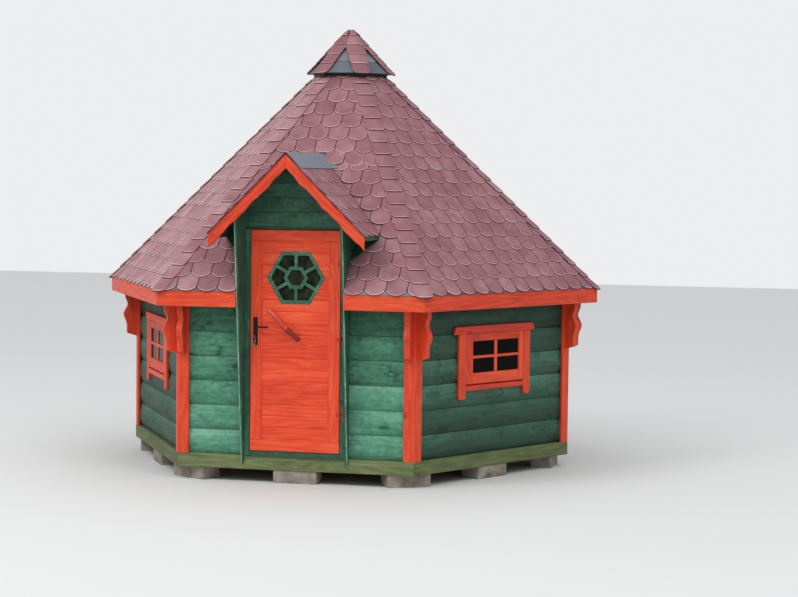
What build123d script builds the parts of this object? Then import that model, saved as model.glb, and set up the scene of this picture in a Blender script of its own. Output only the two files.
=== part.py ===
from build123d import *
from math import cos, radians, sin, sqrt, tan
import os

# A six-sided wooden grill hut with a steep roof, a vent hat and a small dormer over its door.
# The front wall faces -Y, +Z is up, and the origin is on the ground at the middle of the hut.
# Sizes are in millimetres.

# Ground blocks and base
block_height = 100.0
block_length = 350.0
block_width = 180.0
block_inset = 10.0
beam_height = 108.0
beam_width = 95.0
joist_width = 45.0
joist_spacing = 600.0
joist_count = 5
floor_thickness = 28.0

# Walls
wall_side = 1880.0
wall_thickness = 45.0
plank_height = 192.6
plank_edge = 9.0
plank_edge_depth = 9.0
post_board_width = 86.0
post_board_thickness = 22.0

# Corbels under the eave, one on each post board
corbel_thickness = 48.0
corbel_foot_height = 780.0
corbel_foot_reach = 88.0
corbel_waist_reach = 94.0
corbel_nose_reach = 118.0
corbel_neck_reach = 84.0
corbel_head_reach = 106.0
corbel_foot_rise = 26.0
corbel_nose_height = 978.0
corbel_waist_drop = 80.0
corbel_neck_rise = 78.0
corbel_head_rise = 150.0
corbel_edge_lean = 0.2

# Main roof
roof_pitch = 47.7
eave_overhang = 219.0
eave_height = 1503.0
deck_thickness = 30.0
fascia_height = 125.0
fascia_thickness = 22.0
rafter_width = 45.0
rafter_depth = 95.0

# Vent collar and hat
collar_side = 320.0
collar_thickness = 22.0
collar_depth = 130.0
hat_side = 375.0
hat_lift = 87.0
hat_thickness = 24.0

# Dormer over the door
dormer_ridge_rise = 586.0
dormer_pitch = 45.0
dormer_half_width = 617.0
dormer_overhang = 340.0
dormer_board_thickness = 25.0
barge_width = 77.0
barge_thickness = 22.0
barge_wave = 5.0
barge_wave_count = 5
ridge_strip_reach = 109.0
ridge_strip_thickness = 4.0
cheek_inner_half_width = 410.0
cheek_thickness = 19.5
cheek_foot_height = 150.0
cheek_foot_reach = 34.0
cheek_lean = 7.0
gable_thickness = 20.0
gable_gap = 21.0
gable_board_height = 115.0
gable_board_edge = 5.0
gable_board_edge_depth = 4.0
head_height = 90.0

# Door
door_width = 720.0
door_bottom = 252.0
door_height = 1725.0
door_thickness = 28.0
door_board_height = 90.0
door_board_edge = 5.0
door_board_edge_depth = 4.0
door_frame_width = 82.0
door_frame_thickness = 10.0
door_proud = 34.0
door_gap = 5.0
lattice_drop = 369.0
lattice_side = 236.0
lattice_thickness = 22.0
lattice_rim = 30.0
lattice_hub_side = 100.0
lattice_hub_hole = 68.0
lattice_spoke = 24.0
door_glass_thickness = 4.0

# Door hardware
hinge_knuckle_radius = 7.0
hinge_pin_radius = 3.5
hinge_knuckle_height = 30.0
hinge_flap_width = 24.0
hinge_flap_thickness = 2.0
hinge_bottom_inset = 299.0
hinge_top_inset = 253.0
lock_plate_width = 35.0
lock_plate_height = 218.0
lock_plate_thickness = 4.0
lock_plate_drop = 142.0
lock_inset = 42.0
lever_rise = 969.0
lever_length = 108.0
lever_neck_radius = 9.0
lever_thickness = 11.0
lever_width = 15.0
lever_edge_radius = 4.0
lever_standoff = 38.0
spindle_radius = 5.0
spindle_clearance = 0.6
lever_clearance = 1.0
cylinder_radius = 8.5
cylinder_drop = 93.0
pull_length = 349.0
pull_radius = 17.0
pull_waist_radius = 13.0
pull_end_radius = 11.0
pull_side_count = 8
pull_knob_length = 40.0
pull_standoff = 42.0
pull_peg_radius = 11.0
pull_peg_inset = 60.0
pull_centre_x = -88.0
pull_rise = 20.0
pull_angle = -43.7

# Windows
window_half_width = 357.0
window_bottom = 757.0
window_top = 1168.0
trim_width = 81.0
trim_thickness = 22.0
trim_foot_drop = 104.0
trim_foot_radius = 22.0
lintel_half_length = 492.0
lintel_height = 63.0
lintel_top_inset = 26.0
rail_height = 40.0
sash_thickness = 38.0
sash_stile = 84.0
sash_top_rail = 68.0
sash_bottom_rail = 104.0
sash_bar = 20.0
sash_post = 50.0
window_glass_thickness = 4.0

# Clearances
fit_gap = 0.3
mitre_gap = 0.4

# Values that follow from the sizes above
half_turn = radians(30)
wall_reach = wall_side * cos(half_turn)
wall_inner_reach = wall_reach - wall_thickness
post_reach = wall_reach + post_board_thickness
post_side = post_reach / cos(half_turn)
wall_bottom = block_height + beam_height
eave_reach = wall_reach + eave_overhang
roof_rise = tan(radians(roof_pitch))
apex_height = eave_height + eave_reach * roof_rise
deck_drop = deck_thickness / cos(radians(roof_pitch))
collar_reach = collar_side * cos(half_turn)
hat_reach = hat_side * cos(half_turn)
hat_apex_height = apex_height + hat_lift
hat_drop = hat_thickness / cos(radians(roof_pitch))
dormer_rise = tan(radians(dormer_pitch))
dormer_drop = dormer_board_thickness / cos(radians(dormer_pitch))
dormer_front = wall_reach + dormer_overhang
dormer_ridge_height = door_bottom + door_height + dormer_ridge_rise
door_front = wall_reach + door_proud
door_face = door_front - door_frame_thickness
door_back = door_face - door_thickness
door_top = door_bottom + door_height
jamb_inner = door_width / 2 + door_gap
gable_bottom = door_top + door_gap + gable_gap
cheek_outer_half_width = cheek_inner_half_width + cheek_thickness
hinge_x = door_width / 2 + door_gap / 2
hinge_y = door_front + hinge_knuckle_radius + fit_gap
hinge_bottom = door_bottom + hinge_bottom_inset
hinge_top = door_top - hinge_top_inset
hinge_heights = (hinge_bottom, (hinge_bottom + hinge_top) / 2, hinge_top)
lattice_height = door_top - lattice_drop
lock_x = -door_width / 2 + lock_inset
lever_height = door_bottom + lever_rise

sides = {
    "front": -90,
    "right_front": -30,
    "right_rear": 30,
    "rear": 90,
    "left_rear": 150,
    "left_front": 210,
}
window_sides = ("right_front", "right_rear", "left_rear", "left_front")
big = 2 * eave_reach

os.makedirs("parts", exist_ok=True)


def save(builder, name):
    builder.part.label = name
    export_step(builder.part, f"parts/{name}.step")


def radial_plane(angle):
    """A plane through the axis: its x runs outwards along the angle, its y is up."""
    a = radians(angle)
    return Plane(origin=(0, 0, 0), x_dir=(cos(a), sin(a), 0), z_dir=(sin(a), -cos(a), 0))


def face_plane(angle, reach):
    """A plane that faces outwards at the given reach: x runs along the wall, y is up."""
    a = radians(angle)
    return Plane(
        origin=(reach * cos(a), reach * sin(a), 0),
        x_dir=(-sin(a), cos(a), 0),
        z_dir=(cos(a), sin(a), 0),
    )


def mitre_plane(angle, turn, gap=0.0):
    """The upright plane through a corner of the hexagon, facing away from the side."""
    a = radians(angle + 30 * turn)
    normal = (-sin(a) * turn, cos(a) * turn, 0)
    return Plane(origin=(-normal[0] * gap / 2, -normal[1] * gap / 2, 0), z_dir=normal)


def roof_plane(angle, apex):
    """The sloping plane of one roof face that passes through the given apex height."""
    a = radians(angle)
    p = radians(roof_pitch)
    return Plane(origin=(0, 0, apex), z_dir=(sin(p) * cos(a), sin(p) * sin(a), cos(p)))


def roof_height(reach, apex=None):
    return (apex_height if apex is None else apex) - reach * roof_rise


def trim_to_side(angle, gap=0.0):
    """Cut the part in hand at both corners of its side."""
    for turn in (-1, 1):
        split(bisect_by=mitre_plane(angle, turn, gap), keep=Keep.BOTTOM)


def trim_under_roof(angle, apex):
    split(bisect_by=roof_plane(angle, apex), keep=Keep.BOTTOM)


# Ground blocks: at the corners, under the middle of each beam, and under the joists
side_block_reach = post_reach - block_inset - block_width / 2
corner_block_reach = post_side - (block_length / 2 + block_inset) * tan(half_turn) - block_width / 2
with BuildPart() as foundation_blocks:
    for angle in sides.values():
        with BuildSketch(Plane.XY.rotated((0, 0, angle))):
            with Locations((side_block_reach, 0)):
                Rectangle(block_width, block_length)
        with BuildSketch(Plane.XY.rotated((0, 0, angle + 30))):
            with Locations((corner_block_reach, 0)):
                Rectangle(block_width, block_length)
    with BuildSketch(Plane.XY):
        with Locations((-joist_spacing, 0), (0, 0), (joist_spacing, 0)):
            Rectangle(block_width, block_length)
    extrude(amount=block_height)
save(foundation_blocks, "foundation_blocks")

# Base frame: six mitred beams, flush with the faces of the post boards
beam_middle = post_reach - beam_width / 2
with BuildPart() as base_frame:
    for angle in sides.values():
        with BuildPart(mode=Mode.PRIVATE) as beam:
            with BuildSketch(radial_plane(angle)):
                with Locations((beam_middle, block_height + beam_height / 2)):
                    Rectangle(beam_width, beam_height)
            extrude(amount=wall_side, both=True)
            trim_to_side(angle, mitre_gap)
        add(beam.part)
save(base_frame, "base_frame")

# Floor joists between the beams
joist_limit = (post_reach - beam_width - fit_gap) / cos(half_turn)
with BuildPart() as floor_joists:
    for i in range(joist_count):
        x = (i - (joist_count - 1) / 2) * joist_spacing
        half_length = min(joist_limit * cos(half_turn), (joist_limit - abs(x) - joist_width / 2) * tan(radians(60)))
        with Locations((x, 0, block_height + beam_height / 2)):
            Box(joist_width, 2 * half_length, beam_height)
save(floor_joists, "floor_joists")

# Floor boards inside the walls
with BuildPart() as floor:
    with BuildSketch(Plane.XY.offset(wall_bottom)):
        RegularPolygon(wall_inner_reach - fit_gap, 6, major_radius=False)
    extrude(amount=floor_thickness)
save(floor, "floor")

# Walls: five whole sides, and the front as two panels beside the doorway.
# Their planks lie on each other, and each joint shows as a groove between the planks' bevelled edges.
wall_top = roof_height(wall_reach) - deck_drop
joint_count = int((wall_top - plank_edge - wall_bottom) / plank_height)
plank_outline = [(wall_reach, wall_bottom)]
for i in range(1, joint_count + 1):
    joint = wall_bottom + i * plank_height
    plank_outline += [
        (wall_reach, joint - plank_edge),
        (wall_reach - plank_edge_depth, joint),
        (wall_reach, joint + plank_edge),
    ]
for name, angle in sides.items():
    with BuildPart() as wall:
        with BuildSketch(radial_plane(angle)):
            with BuildLine():
                Polyline(
                    (wall_inner_reach, wall_bottom),
                    *plank_outline,
                    (wall_reach, wall_top),
                    (wall_inner_reach, roof_height(wall_inner_reach) - deck_drop),
                    close=True,
                )
            make_face()
        extrude(amount=wall_side, both=True)
        trim_to_side(angle)
        if name in window_sides:
            with BuildSketch(face_plane(angle, wall_reach)):
                with Locations((0, (window_bottom + window_top) / 2)):
                    Rectangle(2 * window_half_width, window_top - window_bottom)
            extrude(amount=-wall_thickness, mode=Mode.SUBTRACT)
        if name == "front":
            with BuildSketch(face_plane(angle, wall_reach)):
                with Locations((0, apex_height / 2)):
                    Rectangle(2 * cheek_inner_half_width, apex_height)
            extrude(amount=-wall_thickness, mode=Mode.SUBTRACT)
    if name == "front":
        for half, solid in zip(("left", "right"), wall.part.solids().sort_by(Axis.X)):
            with BuildPart() as front_half:
                add(solid)
            save(front_half, f"front_wall_{half}")
    else:
        save(wall, f"{name}_wall")

# Post boards: a V of two boards over each corner, up to the roof boards
with BuildPart() as corner_posts:
    for angle in sides.values():
        with BuildPart(mode=Mode.PRIVATE) as post:
            for turn, side_angle in ((1, angle), (-1, angle + 60)):
                with BuildPart(mode=Mode.PRIVATE) as board:
                    with BuildSketch(radial_plane(side_angle)):
                        with BuildLine():
                            Polyline(
                                (wall_reach, wall_bottom),
                                (post_reach, wall_bottom),
                                (post_reach, roof_height(post_reach) - deck_drop),
                                (wall_reach, roof_height(wall_reach) - deck_drop),
                                close=True,
                            )
                        make_face()
                    extrude(amount=wall_side, both=True)
                    trim_to_side(side_angle)
                    board_edge = post_side / 2 - post_board_width
                    with BuildSketch(face_plane(side_angle, wall_reach)):
                        with Locations((turn * (board_edge - big / 2), big / 2)):
                            Rectangle(big, big)
                    extrude(amount=post_board_thickness, mode=Mode.SUBTRACT)
                add(board.part)
        add(post.part)
save(corner_posts, "corner_posts")

# Corbels: hand-cut brackets that stand square to the wall and carry the eave
corbel_along = post_side / 2 - post_board_width / 2
corbel_bottom = wall_bottom + corbel_foot_height
with BuildPart() as corbels:
    for angle in sides.values():
        for turn in (-1, 1):
            with BuildPart(mode=Mode.PRIVATE) as corbel:
                with BuildSketch(radial_plane(angle)):
                    with BuildLine():
                        foot = (post_reach, corbel_bottom)
                        toe = (post_reach + corbel_foot_reach, corbel_bottom + corbel_foot_rise)
                        nose_height = wall_bottom + corbel_nose_height
                        head = (post_reach + corbel_head_reach, nose_height + corbel_head_rise)
                        head_top = roof_height(head[0]) - deck_drop
                        Line(foot, toe)
                        Spline(
                            toe,
                            (post_reach + corbel_waist_reach, nose_height - corbel_waist_drop),
                            (post_reach + corbel_nose_reach, nose_height),
                            (post_reach + corbel_neck_reach, nose_height + corbel_neck_rise),
                            head,
                            tangents=((corbel_edge_lean, 1), (corbel_edge_lean, 1)),
                        )
                        Polyline(
                            head,
                            (head[0], head_top),
                            (post_reach, roof_height(post_reach) - deck_drop),
                            foot,
                        )
                    make_face()
                extrude(amount=corbel_thickness / 2, both=True)
            tangent = face_plane(angle, 0).x_dir * (turn * corbel_along)
            add(corbel.part.moved(Location(tangent)))
save(corbels, "eave_corbels")


def dormer_line(x, drop=0.0):
    """Height of the dormer's slope at a distance from its middle."""
    return dormer_ridge_height - abs(x) * dormer_rise - drop


# Roof panels: six mitred panels, the front one cut out under the dormer
for name, angle in sides.items():
    deck_reach = eave_reach - fascia_thickness
    with BuildPart() as panel:
        with BuildSketch(radial_plane(angle)):
            with BuildLine():
                Polyline(
                    (deck_reach, roof_height(deck_reach)),
                    (collar_reach, roof_height(collar_reach)),
                    (collar_reach, roof_height(collar_reach) - deck_drop),
                    (deck_reach, roof_height(deck_reach) - deck_drop),
                    close=True,
                )
            make_face()
        extrude(amount=eave_reach, both=True)
        trim_to_side(angle)
        if name == "front":
            with BuildSketch(Plane.XZ):
                with BuildLine():
                    edge = cheek_outer_half_width
                    Polyline(
                        (-edge, 0),
                        (edge, 0),
                        (edge, dormer_line(edge, dormer_drop)),
                        (0, dormer_line(0, dormer_drop)),
                        (-edge, dormer_line(edge, dormer_drop)),
                        close=True,
                    )
                make_face()
            extrude(amount=eave_reach, mode=Mode.SUBTRACT)
    save(panel, f"roof_panel_{name}")

# Hip rafters inside the roof
hip_rise = roof_rise * cos(half_turn)
rafter_top_drop = deck_drop + rafter_width / 2 * roof_rise * sin(half_turn) + fit_gap
rafter_foot = wall_inner_reach / cos(half_turn) - rafter_width / 2 * tan(half_turn) - fit_gap
rafter_head = collar_side + rafter_width / 2 * tan(half_turn) + fit_gap
rafter_plumb = rafter_depth * sqrt(1 + hip_rise**2)
with BuildPart() as rafters:
    for angle in sides.values():
        with BuildPart(mode=Mode.PRIVATE) as rafter:
            with BuildSketch(radial_plane(angle + 30)):
                with BuildLine():
                    Polyline(
                        (rafter_foot, apex_height - rafter_foot * hip_rise - rafter_top_drop),
                        (rafter_head, apex_height - rafter_head * hip_rise - rafter_top_drop),
                        (rafter_head, apex_height - rafter_head * hip_rise - rafter_top_drop - rafter_plumb),
                        (rafter_foot, apex_height - rafter_foot * hip_rise - rafter_top_drop - rafter_plumb),
                        close=True,
                    )
                make_face()
            extrude(amount=rafter_width / 2, both=True)
        add(rafter.part)
save(rafters, "hip_rafters")

# Fascia boards round the eave, the front one in two lengths beside the dormer
with BuildPart() as fascia:
    for name, angle in sides.items():
        with BuildPart(mode=Mode.PRIVATE) as board:
            with BuildSketch(radial_plane(angle)):
                with Locations((eave_reach - fascia_thickness / 2, eave_height - fascia_height / 2)):
                    Rectangle(fascia_thickness, fascia_height)
            extrude(amount=eave_reach, both=True)
            trim_to_side(angle, mitre_gap)
            if name == "front":
                with Locations((0, -eave_reach, eave_height)):
                    Box(2 * (cheek_outer_half_width + fit_gap), 4 * fascia_thickness, 4 * fascia_height,
                        mode=Mode.SUBTRACT)
        add(board.part)
save(fascia, "fascia_boards")

# Vent collar: six mitred boards that stand up through the roof and carry the hat
with BuildPart() as collar:
    for angle in sides.values():
        with BuildPart(mode=Mode.PRIVATE) as board:
            with BuildSketch(radial_plane(angle)):
                with BuildLine():
                    inner = collar_reach - collar_thickness
                    low = roof_height(collar_reach) - collar_depth
                    Polyline(
                        (collar_reach, low),
                        (collar_reach, roof_height(collar_reach, hat_apex_height) - hat_drop),
                        (inner, roof_height(inner, hat_apex_height) - hat_drop),
                        (inner, low),
                        close=True,
                    )
                make_face()
            extrude(amount=collar_side, both=True)
            trim_to_side(angle)
        add(board.part)
save(collar, "vent_collar")


def pyramid(apex, base):
    """A solid six-sided pyramid at the roof's pitch, cut from a block wider than its base."""
    block_side = 2 * hat_side
    with BuildPart(mode=Mode.PRIVATE) as solid:
        with BuildSketch(Plane.XY.offset(base)):
            RegularPolygon(block_side, 6)
        extrude(amount=apex - base + hat_thickness)
        for angle in sides.values():
            trim_under_roof(angle, apex)
    return solid.part


# Vent hat: a small six-sided roof over the collar
hat_base = roof_height(hat_reach, hat_apex_height)
with BuildPart() as hat:
    add(pyramid(hat_apex_height, hat_base))
    add(pyramid(hat_apex_height - hat_drop, hat_base), mode=Mode.SUBTRACT)
save(hat, "vent_hat")

# Dormer roof boards, cut where they meet the main roof
boards_front = dormer_front - barge_thickness
for half, turn in (("left", -1), ("right", 1)):
    with BuildPart() as slope:
        with BuildSketch(Plane.XZ):
            with BuildLine():
                edge = turn * dormer_half_width
                Polyline(
                    (0, dormer_line(0)),
                    (edge, dormer_line(edge)),
                    (edge, dormer_line(edge, dormer_drop)),
                    (0, dormer_line(0, dormer_drop)),
                    close=True,
                )
            make_face()
        extrude(amount=boards_front)
        split(bisect_by=roof_plane(sides["front"], apex_height), keep=Keep.TOP)
    save(slope, f"dormer_roof_{half}")

# Bargeboards with a hand-cut lower edge
barge_plumb = barge_width / cos(radians(dormer_pitch))
for half, turn in (("left", -1), ("right", 1)):
    with BuildPart() as barge:
        with BuildSketch(Plane.XZ.offset(boards_front)):
            with BuildLine():
                wave_points = []
                steps = 2 * barge_wave_count
                for i in range(steps + 1):
                    x = dormer_half_width * i / steps
                    drop = barge_plumb + barge_wave * (1 if i % 2 else -1)
                    wave_points.append((turn * x, dormer_line(x, drop)))
                Polyline((0, dormer_line(0, barge_plumb - barge_wave)), (0, dormer_line(0)))
                Polyline((0, dormer_line(0)), (turn * dormer_half_width, dormer_line(dormer_half_width)))
                Polyline((turn * dormer_half_width, dormer_line(dormer_half_width)), wave_points[-1])
                Spline(*wave_points)
            make_face()
        extrude(amount=barge_thickness)
    save(barge, f"bargeboard_{half}")

# Ridge strip: one folded strip of roofing felt over the dormer's ridge
strip_drop = ridge_strip_thickness / cos(radians(dormer_pitch))
with BuildPart() as ridge_strip:
    with BuildSketch(Plane.XZ):
        with BuildLine():
            reach = ridge_strip_reach
            Polyline(
                (0, dormer_line(0)),
                (reach, dormer_line(reach)),
                (reach, dormer_line(reach, -strip_drop)),
                (0, dormer_line(0, -strip_drop)),
                (-reach, dormer_line(reach, -strip_drop)),
                (-reach, dormer_line(reach)),
                close=True,
            )
        make_face()
    extrude(amount=dormer_front)
    split(bisect_by=roof_plane(sides["front"], apex_height), keep=Keep.TOP)
save(ridge_strip, "dormer_ridge_strip")

# Cheeks: boards on edge beside the door, from the base up to the dormer roof
for half, turn in (("left", -1), ("right", 1)):
    with BuildPart() as cheek:
        with BuildSketch(Plane.YZ):
            with BuildLine():
                lean = tan(radians(cheek_lean))
                foot_front = wall_reach + cheek_foot_reach
                cheek_top = dormer_line(cheek_inner_half_width, dormer_drop)
                top_front = foot_front + (cheek_top - cheek_foot_height) * lean
                roof_meet = (apex_height - cheek_top) / roof_rise
                Polyline(
                    (-foot_front, cheek_foot_height),
                    (-top_front, cheek_top),
                    (-roof_meet, cheek_top),
                    (-wall_reach, roof_height(wall_reach)),
                    (-wall_reach, wall_bottom),
                    (-post_reach - fit_gap, wall_bottom),
                    (-post_reach - fit_gap, cheek_foot_height),
                    close=True,
                )
            make_face()
        extrude(amount=turn * cheek_outer_half_width)
        with BuildSketch(Plane.YZ):
            with Locations((-big / 2, big / 2)):
                Rectangle(big, big)
        extrude(amount=turn * cheek_inner_half_width, mode=Mode.SUBTRACT)
        slope_plane = Plane(
            origin=(0, 0, dormer_line(0, dormer_drop)),
            z_dir=(turn * dormer_rise, 0, 1),
        )
        split(bisect_by=slope_plane, keep=Keep.BOTTOM)
    save(cheek, f"dormer_cheek_{half}")

# Gable over the door, made of level boards with a groove at each joint
gable_half_width = cheek_inner_half_width - fit_gap
gable_joint_count = int((dormer_line(0, dormer_drop) - gable_bottom - gable_board_edge) / gable_board_height)
with BuildPart() as gable:
    with BuildSketch(Plane.XZ.offset(door_front - gable_thickness)):
        with BuildLine():
            Polyline(
                (-gable_half_width, gable_bottom),
                (gable_half_width, gable_bottom),
                (gable_half_width, dormer_line(gable_half_width, dormer_drop)),
                (0, dormer_line(0, dormer_drop)),
                (-gable_half_width, dormer_line(gable_half_width, dormer_drop)),
                close=True,
            )
        make_face()
    extrude(amount=gable_thickness)
    with BuildSketch(Plane.YZ):
        for i in range(1, gable_joint_count + 1):
            joint = gable_bottom + i * gable_board_height
            with BuildLine():
                Polyline(
                    (-door_front, joint - gable_board_edge),
                    (-door_front, joint + gable_board_edge),
                    (-door_front + gable_board_edge_depth, joint),
                    close=True,
                )
            make_face()
    extrude(amount=cheek_inner_half_width, both=True, mode=Mode.SUBTRACT)
save(gable, "gable_boards")

# Door jambs, head and threshold
jamb_outer = cheek_inner_half_width - fit_gap
frame_depth = door_front - wall_inner_reach
head_bottom = door_top + door_gap
for half, turn in (("left", -1), ("right", 1)):
    with BuildPart() as jamb:
        with BuildSketch(Plane.XY.offset(wall_bottom)):
            with Locations((turn * (jamb_inner + jamb_outer) / 2, -(door_front + wall_inner_reach) / 2)):
                Rectangle(jamb_outer - jamb_inner, frame_depth)
        extrude(amount=head_bottom - wall_bottom)
    save(jamb, f"door_jamb_{half}")

head_depth = frame_depth - gable_thickness - fit_gap
with BuildPart() as head:
    with BuildSketch(Plane.XY.offset(head_bottom)):
        with Locations((0, -wall_inner_reach - head_depth / 2)):
            Rectangle(2 * jamb_outer, head_depth)
    extrude(amount=head_height)
save(head, "door_head")

threshold_height = door_bottom - door_gap - wall_bottom
with BuildPart() as threshold:
    with BuildSketch(Plane.XY.offset(wall_bottom)):
        with Locations((0, -wall_inner_reach - frame_depth / 2)):
            Rectangle(2 * (jamb_inner - fit_gap), frame_depth)
    extrude(amount=threshold_height)
save(threshold, "door_threshold")

# Door leaf with its six-sided window and the hole for the lever's spindle.
# It is made of level boards, and each joint is a groove between their bevelled edges.
door_middle = door_bottom + door_height / 2
door_board_count = round(door_height / door_board_height)
with BuildPart() as door_leaf:
    with BuildSketch(Plane.XZ.offset(door_back)):
        with Locations((0, door_middle)):
            Rectangle(door_width, door_height)
        with Locations((0, lattice_height)):
            RegularPolygon(lattice_side, 6, mode=Mode.SUBTRACT)
        with Locations((lock_x, lever_height)):
            Circle(spindle_radius + spindle_clearance, mode=Mode.SUBTRACT)
    extrude(amount=door_thickness)
    with BuildSketch(Plane.YZ):
        for i in range(1, door_board_count):
            joint = door_bottom + i * door_height / door_board_count
            with BuildLine():
                Polyline(
                    (-door_face, joint - door_board_edge),
                    (-door_face, joint + door_board_edge),
                    (-door_face + door_board_edge_depth, joint),
                    close=True,
                )
            make_face()
    extrude(amount=door_width, both=True, mode=Mode.SUBTRACT)
save(door_leaf, "door_leaf")

# Mitred boards round the face of the door: two stiles and two rails
with BuildPart() as door_frame:
    with BuildSketch(Plane.XZ.offset(door_face)):
        half_width = door_width / 2
        half_height = door_height / 2
        inner_width = half_width - door_frame_width
        inner_height = half_height - door_frame_width
        for turn in (-1, 1):
            with BuildLine():
                Polyline(
                    (turn * half_width, door_middle - half_height + mitre_gap),
                    (turn * half_width, door_middle + half_height - mitre_gap),
                    (turn * inner_width, door_middle + inner_height - mitre_gap),
                    (turn * inner_width, door_middle - inner_height + mitre_gap),
                    close=True,
                )
            make_face()
            with BuildLine():
                Polyline(
                    (-half_width, door_middle + turn * half_height),
                    (half_width, door_middle + turn * half_height),
                    (inner_width, door_middle + turn * inner_height),
                    (-inner_width, door_middle + turn * inner_height),
                    close=True,
                )
            make_face()
        with Locations((lock_x, lever_height)):
            Circle(spindle_radius + spindle_clearance, mode=Mode.SUBTRACT)
    extrude(amount=door_frame_thickness)
save(door_frame, "door_frame")

# Lattice of the door window: rim, hub and six spokes to the middles of the sides
lattice_front = door_face
with BuildPart() as lattice:
    with BuildSketch(Plane.XZ.offset(lattice_front - lattice_thickness)):
        with Locations((0, lattice_height)):
            RegularPolygon(lattice_side - fit_gap, 6)
            RegularPolygon(lattice_side - lattice_rim / cos(half_turn), 6, mode=Mode.SUBTRACT)
            with PolarLocations((lattice_side + lattice_hub_hole) * cos(half_turn) / 2, 6, start_angle=30):
                Rectangle((lattice_side - lattice_hub_hole) * cos(half_turn) - lattice_rim, lattice_spoke)
            RegularPolygon(lattice_hub_side, 6)
            RegularPolygon(lattice_hub_hole, 6, mode=Mode.SUBTRACT)
    extrude(amount=lattice_thickness)
save(lattice, "door_window_lattice")

with BuildPart() as door_glass:
    with BuildSketch(Plane.XZ.offset(lattice_front - lattice_thickness - door_glass_thickness)):
        with Locations((0, lattice_height)):
            RegularPolygon(lattice_side - fit_gap, 6)
    extrude(amount=door_glass_thickness)
save(door_glass, "door_window_glass")

# Hinges: the middle knuckle turns with the door, the outer two and the pin stay on the jamb
with BuildPart() as door_hinges:
    for height in hinge_heights:
        with BuildSketch(Plane.XY.offset(height - hinge_knuckle_height / 2)):
            with Locations((hinge_x, -hinge_y)):
                Circle(hinge_knuckle_radius)
            with Locations((hinge_x - hinge_flap_width / 2 - hinge_pin_radius,
                            -door_front - hinge_flap_thickness / 2)):
                Rectangle(hinge_flap_width, hinge_flap_thickness)
            with Locations((hinge_x, -hinge_y)):
                Circle(hinge_pin_radius + fit_gap, mode=Mode.SUBTRACT)
        extrude(amount=hinge_knuckle_height)
save(door_hinges, "door_hinges")

with BuildPart() as jamb_hinges:
    for height in hinge_heights:
        for side in (-1, 1):
            middle = height + side * (hinge_knuckle_height + 2 * fit_gap)
            with BuildSketch(Plane.XY.offset(middle - hinge_knuckle_height / 2)):
                with Locations((hinge_x, -hinge_y)):
                    Circle(hinge_knuckle_radius)
                with Locations((hinge_x + hinge_flap_width / 2 + hinge_pin_radius,
                                -door_front - hinge_flap_thickness / 2)):
                    Rectangle(hinge_flap_width, hinge_flap_thickness)
            extrude(amount=hinge_knuckle_height)
        with BuildSketch(Plane.XY.offset(height - hinge_knuckle_height)):
            with Locations((hinge_x, -hinge_y)):
                Circle(hinge_pin_radius)
        extrude(amount=2 * hinge_knuckle_height)
save(jamb_hinges, "jamb_hinges")

# Lock plates on both faces of the door, each with the key cylinder's end
plate_middle = lever_height - lock_plate_drop + lock_plate_height / 2
with BuildPart() as lock_plates:
    for plane_offset, direction in ((door_front, 1), (door_back, -1)):
        with BuildSketch(Plane.XZ.offset(plane_offset)):
            with Locations((lock_x, plate_middle)):
                RectangleRounded(lock_plate_width, lock_plate_height, lock_plate_width / 4)
            with Locations((lock_x, lever_height)):
                Circle(spindle_radius + spindle_clearance, mode=Mode.SUBTRACT)
        extrude(amount=direction * lock_plate_thickness)
        with BuildSketch(Plane.XZ.offset(plane_offset + direction * lock_plate_thickness)):
            with Locations((lock_x, lever_height - cylinder_drop)):
                Circle(cylinder_radius)
        extrude(amount=direction * lock_plate_thickness)
save(lock_plates, "lock_plates")

# Lever handles on both faces, on one spindle
plate_front = door_front + lock_plate_thickness
plate_back = door_back - lock_plate_thickness
with BuildPart() as lever:
    with BuildSketch(Plane.XZ.offset(plate_back - lever_standoff)):
        with Locations((lock_x, lever_height)):
            Circle(spindle_radius)
    extrude(amount=plate_front - plate_back + 2 * lever_standoff)
    for plane_offset, direction in ((plate_front, 1), (plate_back, -1)):
        with BuildSketch(Plane.XZ.offset(plane_offset + direction * lever_clearance)):
            with Locations((lock_x, lever_height)):
                Circle(lever_neck_radius)
        extrude(amount=direction * (lever_standoff - lever_clearance))
        bar_y = -(plane_offset + direction * (lever_standoff - lever_thickness / 2))
        with BuildSketch(Plane.YZ.offset(lock_x)):
            with Locations((bar_y, lever_height)):
                RectangleRounded(lever_thickness, lever_width, lever_edge_radius)
        extrude(amount=lever_length)
save(lever, "door_lever")

# Pull handle: a whittled stick with a knob at its lower end, held off the door by two pegs
pull_centre_height = lever_height + pull_rise
pull_centre = (pull_centre_x, -door_face - pull_standoff, pull_centre_height)
pull_direction = (cos(radians(pull_angle)), 0, sin(radians(pull_angle)))
pull_plane = Plane(origin=pull_centre, x_dir=(0, -1, 0), z_dir=pull_direction)
pull_end = pull_length / 2
pull_sections = (
    (-pull_end, pull_end_radius),
    (pull_peg_inset - pull_end, pull_radius),
    (pull_end - pull_knob_length, pull_waist_radius),
    (pull_end - pull_knob_length / 2, pull_radius),
    (pull_end, pull_end_radius),
)
with BuildPart() as pull:
    for along, radius in pull_sections:
        with BuildSketch(pull_plane.offset(along)):
            RegularPolygon(radius, pull_side_count)
    loft(ruled=True)
    for turn in (-1, 1):
        along = turn * (pull_end - pull_peg_inset)
        x = pull_centre_x + along * pull_direction[0]
        z = pull_centre_height + along * pull_direction[2]
        with BuildSketch(Plane.XZ.offset(door_face)):
            with Locations((x, z)):
                RegularPolygon(pull_peg_radius, pull_side_count)
        extrude(amount=pull_standoff)
save(pull, "door_pull")


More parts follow.
